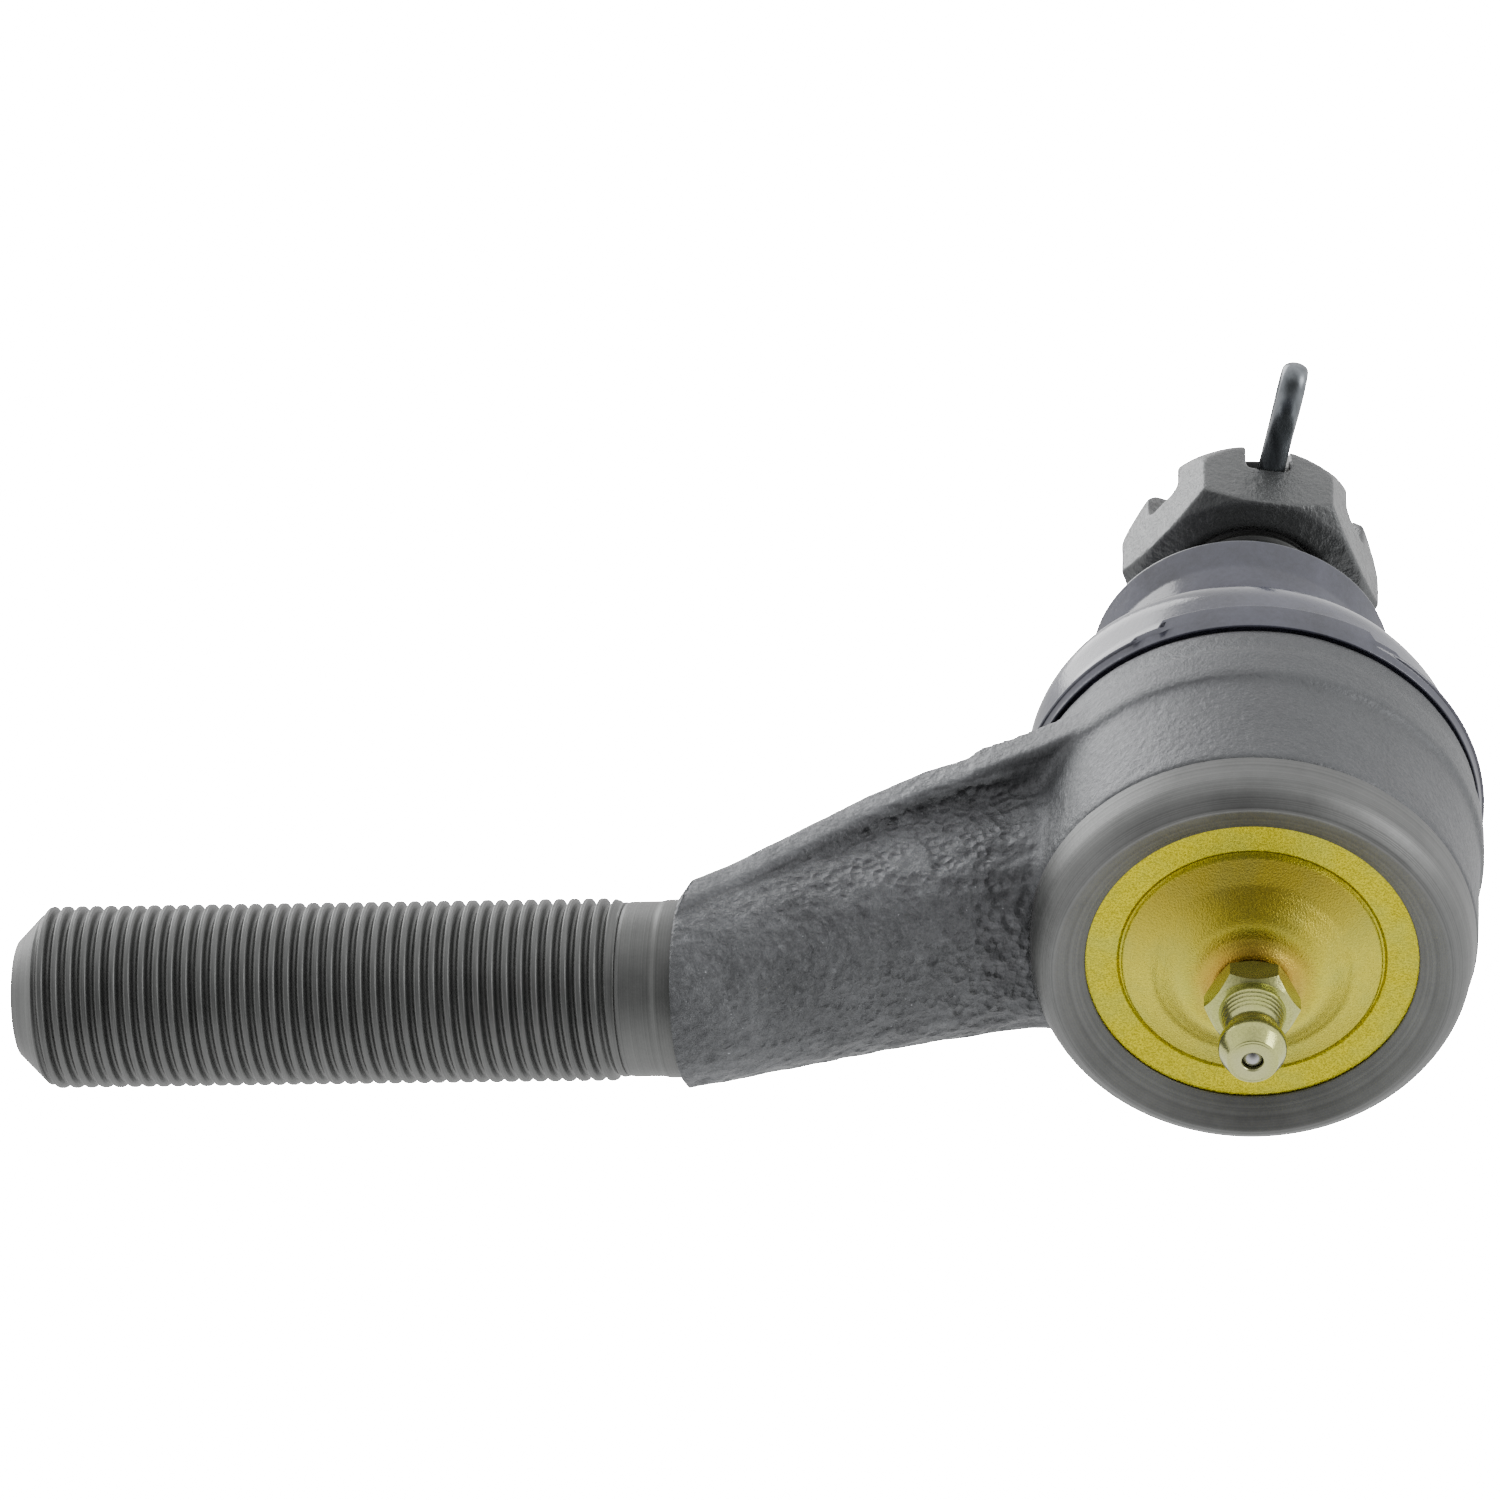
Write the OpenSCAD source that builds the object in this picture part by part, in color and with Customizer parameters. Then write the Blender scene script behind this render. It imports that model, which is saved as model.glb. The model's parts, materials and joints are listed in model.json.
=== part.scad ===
// Outer tie rod end: forged housing with a threaded shank, ball stud,
// bearings, spring-loaded seat, greaseable cover, dust boot, castle nut
// and split pin. The origin is the centre of the ball, +Z runs up the
// stud and -X points along the arm.

/* [Housing] */
// Thickness of the forged wall outside the bearing bore, at the trimmed band
housing_wall = 5.3; // [4.4:0.1:9]
// Thickness of the housing's top wall above the bearing shoulder
top_wall = 3.1; // [2.5:0.1:5]
// Distance from the ball's flat to the cover plate's outer face
cover_gap = 3.5; // [2.9:0.1:6]
// Width of the rim rolled over the cover plate's edge
rolled_lip_w = 2; // [1:0.1:3]
// Height of the trimmed band
band_h = 3.8; // [2:0.1:5]

/* [Arm and shank] */
// Distance along the shank axis from the stud axis to the threaded end
shank_end_d = 119; // [100:1:150]
// Length of the thread
thread_len = 59; // [40:1:70]
// Outside radius of the shank thread
shank_r = 8.73; // [7:0.01:9.5]
// Pitch of the shank thread
shank_pitch = 1.411; // [1:0.001:2]
// Depth below the ball centre at which the shank axis meets the stud axis
shank_drop = 18; // [10:0.5:22]
// Upward slope of the shank axis, in degrees
shank_slope = 6.34; // [0:0.1:12]
// Length of the plain neck between thread and arm
neck_len = 4.4; // [2:0.1:8]
// Half width of the arm where it meets the housing
arm_root_half_w = 11; // [8:0.1:14]
// Step from the shank thread up to the arm's end
arm_shoulder = 1; // [0.8:0.05:3]

/* [Ball stud] */
// Radius of the ball
ball_r = 12.66; // [10.5:0.01:15.3]
// Radius of the neck between ball and taper
stud_neck_r = 6.8; // [6:0.1:7.4]
// Radius of the taper's large end
taper_r = 8.65; // [7.8:0.05:10.4]
// Height of the taper's large end above the ball centre
taper_z = 20; // [17:0.5:24]
// Length of the taper
taper_len = 22; // [18:0.1:30]
// Outside radius of the stud thread
stud_thread_r = 7.14; // [6:0.01:7.2]
// Pitch of the stud thread
stud_pitch = 1.411; // [1:0.001:2]
// Length of the stud thread
stud_thread_len = 17; // [15:0.5:24]

/* [Nut and split pin] */
// Distance from the taper's small end up to the nut
nut_gap = 3.6; // [2:0.1:4.4]
// Width of the nut across its flats
nut_af = 22.2; // [19:0.1:24]
// Height of the nut
nut_h = 11.5; // [10:0.1:14]
// Depth of the nut's slots
slot_depth = 5.7; // [4:0.1:7]
// Clearance of the split pin across the nut's slots
slot_gap = 1.5; // [1.1:0.1:2.5]
// Turn of the nut and the stud's cross hole about the stud axis, in degrees
nut_turn = 14.7; // [-30:0.1:30]
// Extra turn of the split pin in its hole, in degrees
pin_skew = 2.6; // [-3:0.1:3]
// Diameter of the split pin
pin_d = 2.7; // [2.2:0.01:3.3]
// Length of the split pin's legs
pin_leg_len = 31.5; // [25:0.5:45]
// Length of the split pin's eye
eye_len = 8.9; // [6:0.1:10]
// Gap between the nut's flat and the split pin's eye
eye_gap = 2.2; // [1.8:0.1:6]

/* [Bearings and spring] */
// Thickness of the bearings at the ball's widest place
bearing_wall = 4.34; // [3.6:0.01:7]
// Running clearance between bearing surfaces
run_gap = 0.05; // [0.02:0.01:0.1]
// Wear take-up travel of the lower seat
seat_travel = 0.5; // [0.2:0.1:0.7]
// Wire diameter of the preload spring
spring_wire_d = 1.1; // [0.8:0.1:1.2]
// Turns of the preload spring
spring_turns = 2; // [1:0.5:2]

/* [Cover and grease fitting] */
// Thickness of the cover plate
cover_t = 1.6; // [1:0.1:2]
// Width of the cover plate's flat edge inside the rolled rim
cover_flat_w = 3; // [2:0.1:4]
// Height of the cover plate's raised centre
dome_h = 4.4; // [3.6:0.1:6]
// Width of the grease fitting's hexagon across its flats
fitting_af = 7.94; // [7:0.01:10]
// Length of the grease fitting below the cover plate
fitting_len = 11.6; // [9:0.1:15]
// Radius of the grease fitting's thread
fitting_thread_r = 3.1; // [2.5:0.1:4]
// Radius of the check ball
check_ball_r = 1.15; // [0.9:0.01:1.4]
// Travel of the check ball
check_travel = 0.8; // [0.4:0.1:1.5]

/* [Dust boot] */
// How far the boot's lower lip stands out past the housing's band
boot_lip_over = 0.1; // [0:0.1:1.5]
// Step from the boot's lower lip in to its bulge
boot_bulge_step = 1.5; // [1:0.1:3]
// Thickness of the boot's waist outside the collar ring
waist_wall = 1.65; // [1.2:0.05:2.4]
// Flare of the boot's collar past its waist
collar_flare = 2.4; // [1:0.1:4]
// Height of the boot's top face above the taper's large end
boot_rise = 14.3; // [13:0.1:17]
// Thickness of the boot's wall
boot_wall = 2; // [1.2:0.1:2.4]

/* [Hidden] */
$fn = 96;
hull_fn = 32;
eps = 0.01;
seat_r = ball_r + run_gap;
bore_r = ball_r + bearing_wall;
bearing_r = bore_r - run_gap;
housing_r = bore_r + housing_wall;
half_ball_bottom_z = 0.45;
half_ball_top_z = ball_at(ball_r, stud_neck_r) - 1.68;
shoulder_z = half_ball_top_z - 2.4;
housing_top_z = shoulder_z + top_wall;
throat_r = ball_r - 0.46;
band_z = housing_top_z - 4.8;
stud_head_top_z = half_ball_bottom_z - run_gap;
stud_flat_z = 1.16 - ball_r;
cover_z = cover_gap - stud_flat_z;
cover_r = bore_r + 0.8;
gasket_t = 0.5;
rim_z = -cover_z - 2;
rim_lip_r = cover_r - rolled_lip_w;
rim_step_z = -cover_z + 3.5;
dome_r = rim_lip_r - cover_flat_w;
boss_r = fitting_thread_r + 0.5;
spring_pocket_r = (boss_r + dome_r) / 2;
spring_floor_z = -cover_z - 0.2 * dome_h;
spring_foot_r = spring_pocket_r - spring_wire_d / 2 - 0.25;
spring_head_r = spring_foot_r - 1.6;
upper_top_z = shoulder_z - run_gap;
upper_bottom_z = 0.3;
lower_top_z = -1.2;
lower_hole_r = spring_head_r - spring_wire_d / 2 - 0.2;
lower_open_z = -ball_at(seat_r, lower_hole_r);
lower_bottom_z = -cover_z + cover_t + 0.2 + seat_travel;
arm_tip_r = shank_r + arm_shoulder;
taper_slope = 1 / 16;
taper_end_z = taper_z + taper_len;
taper_end_r = taper_r - taper_len * taper_slope;
nut_z = taper_end_z + nut_gap;
pin_r = pin_d / 2;
pin_hole_r = pin_r + 0.45;
pin_z = nut_z + nut_h - slot_depth + pin_r + 0.3;
slot_w = pin_d + slot_gap;
eye_start = nut_af / 2 + eye_gap;
eye_r = pin_d;
eye_wire = pin_r - 0.1;
thread_depth = 0.62;
thread_crest = 0.22;
fitting_top_z = -cover_z - dome_h;
fitting_tip_z = fitting_top_z - fitting_len;
chamber_r = check_ball_r + 0.1;
mouth_r = check_ball_r * 0.87;
mouth_t = 0.7;
check_z = fitting_tip_z + mouth_t + 0.03 + ball_at(check_ball_r, mouth_r);
check_wire_d = 0.25;
check_coil_r = check_ball_r - 0.2;
check_foot_z = check_z - check_wire_d / 2
    + ball_at(check_ball_r + check_wire_d / 2 + 0.02, check_coil_r);
chamber_top_z = check_z + check_travel + 4.4;
ring_gap = 0.1;
boot_top_z = taper_z + boot_rise;
collar_ring_z = boot_top_z - 5.8;
collar_ring_h = 5;
collar_ring_r = taper_r - (collar_ring_z - taper_z) * taper_slope + 0.13;
collar_pocket_r = collar_ring_r + 1.9 + ring_gap;
boot_waist_r = collar_pocket_r + waist_wall;
boot_collar_r = boot_waist_r + collar_flare;
boot_lip_r = housing_r + boot_lip_over;
boot_bulge_r = boot_lip_r - boot_bulge_step;
lip_z = housing_top_z + 0.2;
lip_ring_r = boot_lip_r - 3;

// Points of a circular arc about (cx, cy) from angle a0 to a1.
function arc(cx, cy, r, a0, a1, n = 10) =
    [for (i = [0:n]) let (a = a0 + (a1 - a0) * i / n)
        [cx + r * cos(a), cy + r * sin(a)]];

// Distance from the centre of a ball of radius r to its slice of radius x.
function ball_at(r, x) = sqrt(r * r - x * x);

// Outline of one flank-to-flank run of thread teeth, from z0 upwards.
function thread_outline(r, pitch, turns, z0) =
    [for (i = [0:turns - 1]) each [
        [r - thread_depth, z0 + i * pitch],
        [r, z0 + (i + 0.5) * pitch - thread_crest / 2],
        [r, z0 + (i + 0.5) * pitch + thread_crest / 2]]];

// Threaded rod of the given outside radius, with a chamfered far end.
module threaded_rod(r, pitch, len, chamfer) {
    turns = floor(len / pitch);
    intersection() {
        rotate_extrude()
            polygon(concat([[0, 0], [r - thread_depth, 0]],
                thread_outline(r, pitch, turns, 0.1),
                [[r - thread_depth, len], [0, len]]));
        rotate_extrude()
            polygon([[0, -1], [r + 1, -1], [r + 1, len - chamfer - 1],
                [r - chamfer, len], [0, len]]);
    }
}

// Coil spring from radius r0 at height z0 to radius r1 at height z1.
module coil(r0, r1, wire_d, turns, z0, z1, sides = 8, per_turn = 20) {
    rings = turns * per_turn;
    lead = z1 - z0 - wire_d;
    points = [for (i = [0:rings], k = [0:sides - 1])
        let (a = 360 * i / per_turn, b = 360 * k / sides,
            d = r0 + (r1 - r0) * i / rings + wire_d / 2 * cos(b))
        [d * cos(a), d * sin(a),
            z0 + wire_d / 2 + lead * i / rings + wire_d / 2 * sin(b)]];
    walls = [for (i = [0:rings - 1], k = [0:sides - 1])
        let (n = (k + 1) % sides)
        [i * sides + k, (i + 1) * sides + k, (i + 1) * sides + n, i * sides + n]];
    caps = [[for (k = [0:sides - 1]) k],
        [for (k = [sides - 1:-1:0]) rings * sides + k]];
    polyhedron(points = points, faces = concat(walls, caps));
}

// Moves a shape drawn along +Z onto the shank axis.
module on_shank_axis() {
    translate([0, 0, -shank_drop]) rotate([0, shank_slope - 90, 0]) children();
}

// Turns a shape to the direction of the cross hole, and further by skew.
module on_pin_axis(skew = 0) {
    translate([0, 0, pin_z]) rotate([0, 0, nut_turn + skew]) children();
}

module housing_blank() {
    rotate_extrude()
        polygon(concat([[0, housing_top_z]],
            arc(housing_r - 2, housing_top_z - 1.5, 1.5, 90, 10, 5),
            [[housing_r - 0.4, band_z + 0.2], [housing_r, band_z],
                [housing_r, band_z - band_h],
                [housing_r - 0.4, band_z - band_h - 0.2],
                [housing_r - 0.7, rim_step_z], [housing_r - 0.9, rim_step_z - 0.1]],
            arc(rim_lip_r + 1.6, rim_z + 3.2, 3.2, -10, -90, 6),
            [[0, rim_z]]));
}

module housing_cavity() {
    rotate_extrude()
        polygon([[0, housing_top_z + 1], [throat_r + 1.6, housing_top_z + 1],
            [throat_r + 1.6, housing_top_z - 0.6], [throat_r, housing_top_z - 2],
            [throat_r, shoulder_z], [bore_r, shoulder_z],
            [bore_r, -cover_z + cover_t + gasket_t],
            [cover_r + 0.1, -cover_z + cover_t + gasket_t],
            [cover_r + 0.1, -cover_z], [rim_lip_r, -cover_z - 0.4],
            [rim_lip_r, rim_z - 1], [0, rim_z - 1]]);
}

// Thin plate of the trimmed band at distance d, with its top at height z.
module band_slice(d, z, half_w) {
    translate([-d, -half_w, z - band_h]) cube([0.1, 2 * half_w, band_h]);
}

module arm() {
    corner_r = 5;
    side_y = arm_root_half_w - corner_r - 0.5;
    tip_d = shank_end_d - thread_len - neck_len - 1;
    tip_z = tip_d * sin(shank_slope) - shank_drop + band_h / 2 + 0.6;
    level_d = 0.54 * tip_d;
    bend_d = 0.74 * tip_d;
    bend_z = band_z * 0.62 + tip_z * 0.38;
    hull() {
        on_shank_axis() translate([0, 0, tip_d])
            cylinder(h = 1, r = arm_tip_r - 0.6, $fn = hull_fn);
        for (y = [-side_y, side_y]) {
            translate([3.3 - housing_r, y, rim_step_z + 2]) sphere(corner_r, $fn = hull_fn);
            translate([5.3 - housing_r, y, housing_top_z - corner_r - 1.2])
                sphere(corner_r, $fn = hull_fn);
        }
    }
    hull() {
        band_slice(housing_r - 6.3, band_z, arm_root_half_w + 1.5);
        band_slice(level_d, band_z, arm_root_half_w + 0.3);
    }
    hull() {
        band_slice(level_d, band_z, arm_root_half_w + 0.3);
        band_slice(bend_d, bend_z, arm_root_half_w - 0.5);
    }
    hull() {
        band_slice(bend_d, bend_z, arm_root_half_w - 0.5);
        band_slice(tip_d - 0.5, tip_z, arm_tip_r);
    }
}

module housing() {
    color("dimgray") difference() {
        union() {
            housing_blank();
            arm();
            on_shank_axis() {
                translate([0, 0, shank_end_d - thread_len - neck_len - 4])
                    cylinder(h = neck_len + 4 + eps, r = shank_r - 0.35);
                translate([0, 0, shank_end_d - thread_len])
                    threaded_rod(shank_r, shank_pitch, thread_len, 3.2);
            }
        }
        housing_cavity();
    }
}

// The dome's outline is given as shares of its width and height.
module cover_plate() {
    dome = [[0.99, 0.04], [0.76, 0.2], [0.51, 0.52], [0.21, 0.68], [0.09, 0.94], [0, 1]];
    color("gold") difference() {
        rotate_extrude()
            polygon(concat([[0, -cover_z + cover_t], [cover_r, -cover_z + cover_t],
                [cover_r, -cover_z + 0.05], [dome_r, -cover_z + 0.05]],
                [for (p = dome) [boss_r + (dome_r - boss_r) * p[0], -cover_z - dome_h * p[1]]],
                [[0, -cover_z - dome_h]]));
        rotate_extrude()
            polygon([[0, -cover_z + cover_t + 1], [dome_r - 1.4, -cover_z + cover_t + 1],
                [dome_r - 1.4, -cover_z + cover_t - 0.3], [spring_pocket_r, spring_floor_z + 0.6],
                [spring_pocket_r, spring_floor_z], [lower_hole_r, spring_floor_z],
                [lower_hole_r - 0.5, spring_floor_z - 0.6], [0, spring_floor_z - 0.6]]);
        translate([0, 0, -cover_z - dome_h - 1]) cylinder(h = dome_h + 2, r = fitting_thread_r);
    }
}

module cover_gasket() {
    color("saddlebrown") difference() {
        translate([0, 0, -cover_z + cover_t]) cylinder(h = gasket_t, r = cover_r);
        translate([0, 0, -cover_z]) cylinder(h = cover_t + 2, r = bore_r + 0.1);
    }
}

module preload_spring() {
    color("silver")
        coil(spring_foot_r, spring_head_r, spring_wire_d, spring_turns,
            spring_floor_z, lower_bottom_z);
}

module pressure_seat() {
    color("tan") rotate_extrude()
        polygon(concat([[bearing_r, lower_top_z], [bearing_r, lower_bottom_z],
            [lower_hole_r, lower_bottom_z]],
            arc(0, 0, seat_r, asin(lower_open_z / seat_r), asin(lower_top_z / seat_r), 12)));
}

module upper_bearing() {
    color("peru") rotate_extrude()
        polygon(concat([[bearing_r, upper_top_z], [bearing_r, upper_bottom_z]],
            arc(0, 0, seat_r, asin(upper_bottom_z / seat_r), asin(upper_top_z / seat_r), 12)));
}

module half_ball_bearing() {
    color("darkgoldenrod") difference() {
        intersection() {
            sphere(ball_r);
            translate([0, 0, half_ball_bottom_z])
                cylinder(h = half_ball_top_z - half_ball_bottom_z, r = ball_r + 1);
        }
        cylinder(h = ball_r, r = stud_neck_r + run_gap);
    }
}

module ball_stud() {
    color("slategray") difference() {
        union() {
            intersection() {
                sphere(ball_r);
                translate([0, 0, stud_flat_z])
                    cylinder(h = stud_head_top_z - stud_flat_z, r = ball_r + 1);
            }
            rotate_extrude()
                polygon([[0, 0], [stud_neck_r, 0], [stud_neck_r, taper_z - 5],
                    [taper_r, taper_z - 1], [taper_r, taper_z],
                    [taper_end_r, taper_end_z], [stud_thread_r - 0.7, taper_end_z + 0.3],
                    [stud_thread_r - 0.7, taper_end_z + 0.7], [0, taper_end_z + 0.7]]);
            translate([0, 0, taper_end_z + 0.6])
                threaded_rod(stud_thread_r, stud_pitch, stud_thread_len, 1);
        }
        on_pin_axis() rotate([90, 0, 0])
            cylinder(h = 3 * stud_thread_r, r = pin_hole_r, center = true);
    }
}

module castle_nut() {
    corner_r = nut_af / 2 / cos(30);
    crown_r = nut_af / 2 - 1.2;
    color("gray") translate([0, 0, nut_z]) rotate([0, 0, nut_turn]) difference() {
        intersection() {
            cylinder(h = nut_h, r = corner_r, $fn = 6);
            rotate_extrude()
                polygon([[0, 0], [nut_af / 2 - 0.2, 0], [corner_r, 1],
                    [corner_r, nut_h - 3.6], [crown_r, nut_h], [0, nut_h]]);
        }
        translate([0, 0, -1]) cylinder(h = nut_h + 2, r = stud_thread_r + 0.02);
        translate([0, 0, -eps])
            cylinder(h = 1.2, r1 = stud_thread_r + 1.2, r2 = stud_thread_r);
        for (a = [30:60:330]) rotate([0, 0, a])
            translate([0, -slot_w / 2, nut_h - slot_depth])
                cube([corner_r + 1, slot_w, slot_depth + 1]);
    }
}

module split_pin() {
    far = eye_start + eye_len;
    outer = concat([[-eye_start, -pin_r * 0.9]],
        arc(-far + eye_r, 0, eye_r, -60, -300, 16), [[-eye_start, pin_r * 0.9]]);
    inner = concat([[-eye_start - 1.2, -0.1]],
        arc(-far + eye_r, 0, eye_r - eye_wire, -60, -300, 16), [[-eye_start - 1.2, 0.1]]);
    color("darkgray") on_pin_axis(pin_skew) {
        difference() {
            rotate([90, 0, 0]) translate([0, 0, -pin_leg_len + eye_start])
                cylinder(h = pin_leg_len + 0.6, r = pin_r);
            translate([-pin_d, -eye_start, -0.1])
                cube([2 * pin_d, pin_leg_len + 1, 0.2]);
        }
        translate([-pin_d * 0.45, 0, 0]) rotate([90, 0, 90])
            linear_extrude(pin_d * 0.9) difference() {
                polygon(outer);
                polygon(inner);
            }
    }
}

// The boot's outside from the lip to the collar, then its inside back down.
module dust_boot() {
    collar_low_z = boot_top_z - 2.9;
    waist_z = boot_top_z - 8.6;
    bulge_z = lip_z + 0.53 * (waist_z - lip_z);
    color("dimgray") difference() {
        rotate_extrude()
            polygon(concat(
                [[boot_lip_r - 0.5, lip_z - 0.7], [boot_lip_r - 0.1, lip_z - 0.7],
                    [boot_lip_r, lip_z + 1.4], [boot_lip_r - 0.4, lip_z + 2.3],
                    [boot_bulge_r + 0.9, lip_z + 2.6]],
                [[boot_bulge_r, lip_z + 3.6], [boot_bulge_r + 0.1, bulge_z - 3],
                    [boot_bulge_r - 0.2, bulge_z]],
                [[boot_bulge_r - 1.5, bulge_z + 2.6], [boot_bulge_r - 4, bulge_z + 4.9],
                    [boot_waist_r + 0.6, waist_z - 1], [boot_waist_r, waist_z]],
                [[boot_collar_r - 2, collar_low_z - 2.6],
                    [boot_collar_r - 0.9, collar_low_z], [boot_collar_r, boot_top_z],
                    [collar_ring_r, boot_top_z]],
                [[collar_ring_r, waist_z + 1.5], [boot_waist_r - boot_wall, waist_z - 1.5],
                    [boot_bulge_r - 5.3, bulge_z + 4.9 - boot_wall],
                    [boot_bulge_r - 1.8 - boot_wall, bulge_z + 2.2 - boot_wall],
                    [boot_bulge_r - boot_wall, bulge_z - 3]],
                [[boot_bulge_r - boot_wall, lip_z + 2.6], [throat_r + 3.4, lip_z + 1.6],
                    [throat_r + 3.4, lip_z], [boot_lip_r - 0.7, lip_z]]));
        translate([0, 0, collar_ring_z - ring_gap])
            cylinder(h = collar_ring_h + 2 * ring_gap, r = collar_pocket_r);
        rotate_extrude()
            translate([lip_ring_r, lip_z + 1.1]) square([2, 1], center = true);
    }
}

module boot_lip_ring() {
    color("lightslategray") rotate_extrude()
        translate([lip_ring_r, lip_z + 1.1])
            square([2 - run_gap * 2, 1 - run_gap * 2], center = true);
}

module boot_collar_ring() {
    color("black") translate([0, 0, collar_ring_z]) difference() {
        cylinder(h = collar_ring_h, r = collar_pocket_r - ring_gap);
        translate([0, 0, -1]) cylinder(h = collar_ring_h + 2, r = collar_ring_r);
    }
}

module grease_fitting() {
    hex_h = 4;
    collar_h = 0.9;
    neck_z = fitting_tip_z + 4.9;
    neck_r = chamber_r + 1.15;
    head_r = neck_r + 0.85;
    color("khaki") difference() {
        union() {
            translate([0, 0, fitting_top_z - hex_h])
                cylinder(h = hex_h - collar_h, r = fitting_af / 2 / cos(30), $fn = 6);
            translate([0, 0, fitting_top_z - collar_h - eps])
                cylinder(h = collar_h + eps, r = fitting_af / 2 - 0.5);
            translate([0, 0, fitting_top_z - 1])
                cylinder(h = dome_h + cover_t - 0.8, r = fitting_thread_r - 0.02);
            rotate_extrude()
                polygon([[0, fitting_top_z - 1], [fitting_af / 2 - 0.2, fitting_top_z - hex_h],
                    [neck_r, neck_z], [neck_r, neck_z - 1.2], [head_r, neck_z - 2],
                    [head_r, neck_z - 3], [head_r - 0.85, fitting_tip_z], [0, fitting_tip_z]]);
        }
        translate([0, 0, fitting_tip_z - 1]) cylinder(h = 3, r = mouth_r);
        translate([0, 0, fitting_tip_z + mouth_t])
            cylinder(h = chamber_top_z - fitting_tip_z - mouth_t, r = chamber_r);
        translate([0, 0, fitting_tip_z + mouth_t])
            cylinder(h = fitting_len + dome_h + cover_t, r = chamber_r * 0.7);
    }
}

module check_ball() {
    color("silver") translate([0, 0, check_z]) sphere(check_ball_r);
}

module check_spring() {
    color("silver")
        coil(check_coil_r, check_coil_r, check_wire_d, 5, check_foot_z, chamber_top_z, 6, 12);
}

housing();
cover_plate();
cover_gasket();
preload_spring();
pressure_seat();
upper_bearing();
half_ball_bearing();
ball_stud();
castle_nut();
split_pin();
dust_boot();
boot_lip_ring();
boot_collar_ring();
grease_fitting();
check_ball();
check_spring();
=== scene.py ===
"""Tie rod end: the looks of the forging, threads, cover, boot, nut and split pin."""

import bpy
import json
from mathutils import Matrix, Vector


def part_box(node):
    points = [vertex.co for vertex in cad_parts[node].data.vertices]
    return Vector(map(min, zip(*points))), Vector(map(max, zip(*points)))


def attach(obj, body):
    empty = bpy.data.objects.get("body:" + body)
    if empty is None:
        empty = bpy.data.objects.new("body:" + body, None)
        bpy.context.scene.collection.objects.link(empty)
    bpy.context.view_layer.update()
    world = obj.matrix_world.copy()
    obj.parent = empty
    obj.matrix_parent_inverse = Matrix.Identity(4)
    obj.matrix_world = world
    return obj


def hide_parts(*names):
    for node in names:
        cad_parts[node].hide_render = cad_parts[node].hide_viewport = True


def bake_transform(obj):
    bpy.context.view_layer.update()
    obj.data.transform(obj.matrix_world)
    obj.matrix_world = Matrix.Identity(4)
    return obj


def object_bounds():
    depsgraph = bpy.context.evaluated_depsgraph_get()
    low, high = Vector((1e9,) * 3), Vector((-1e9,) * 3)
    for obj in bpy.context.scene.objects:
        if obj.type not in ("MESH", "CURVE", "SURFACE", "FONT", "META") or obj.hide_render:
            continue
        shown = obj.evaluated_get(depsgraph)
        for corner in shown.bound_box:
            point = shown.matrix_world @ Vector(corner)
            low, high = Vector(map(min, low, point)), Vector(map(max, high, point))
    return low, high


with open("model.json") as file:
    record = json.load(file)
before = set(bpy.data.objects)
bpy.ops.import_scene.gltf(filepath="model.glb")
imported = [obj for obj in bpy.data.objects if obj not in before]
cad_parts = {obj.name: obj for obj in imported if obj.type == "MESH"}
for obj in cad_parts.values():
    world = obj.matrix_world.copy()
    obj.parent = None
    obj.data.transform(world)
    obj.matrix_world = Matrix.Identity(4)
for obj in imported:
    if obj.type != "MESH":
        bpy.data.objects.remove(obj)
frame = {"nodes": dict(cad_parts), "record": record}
CAD_BOX = [list(corner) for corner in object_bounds()]

import json
import math

import bmesh
import bpy
from mathutils import Matrix, Vector, noise

bl_info = {
    "name": "Tie Rod End",
    "version": (1, 0, 0),
    "blender": (4, 5, 0),
    "location": "3D View > Sidebar > Tie Rod End",
    "description": "Models the forging, threads, cover, boot, nut and split pin of a tie rod end",
    "category": "Add Mesh",
}

MM = 0.001
TURN = 2 * math.pi

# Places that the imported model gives, in metres.
HOUSING_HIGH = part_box("housing")[1]
COVER_LOW, COVER_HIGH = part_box("cover_plate")
FITTING_LOW, FITTING_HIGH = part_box("grease_fitting")
BOOT_LOW, BOOT_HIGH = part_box("dust_boot")
NUT_LOW, NUT_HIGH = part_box("castle_nut")
STUD_LOW, STUD_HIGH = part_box("ball_stud")
PIN_LOW, PIN_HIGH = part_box("split_pin")
MOUNTS = {mount["name"]: mount for mount in frame["record"]["mounts"]}
JOINTS = {joint["name"]: joint for joint in frame["record"]["behaviour"]["joints"]}
SHANK_AXIS = Vector(MOUNTS["shank_thread"]["axis"])
SHANK_MIDDLE = Vector(MOUNTS["shank_thread"]["pos_m"])
SHANK_START = SHANK_MIDDLE - SHANK_AXIS * (SHANK_MIDDLE.x / SHANK_AXIS.x)
PIN_AXIS = Vector(JOINTS["split_pin_pull"]["axis"])


# ------------------------------------------------------------------ settings


def length(name, description, default):
    """A length property in metres."""
    return bpy.props.FloatProperty(
        name=name, description=description, default=default, unit="LENGTH", precision=5)


def angle(name, description, degrees):
    """An angle property."""
    return bpy.props.FloatProperty(
        name=name, description=description, default=math.radians(degrees), subtype="ANGLE")


def colour(name, description, default):
    """A linear colour property."""
    return bpy.props.FloatVectorProperty(
        name=name, description=description, default=default, size=3,
        subtype="COLOR", min=0, max=1)


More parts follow.
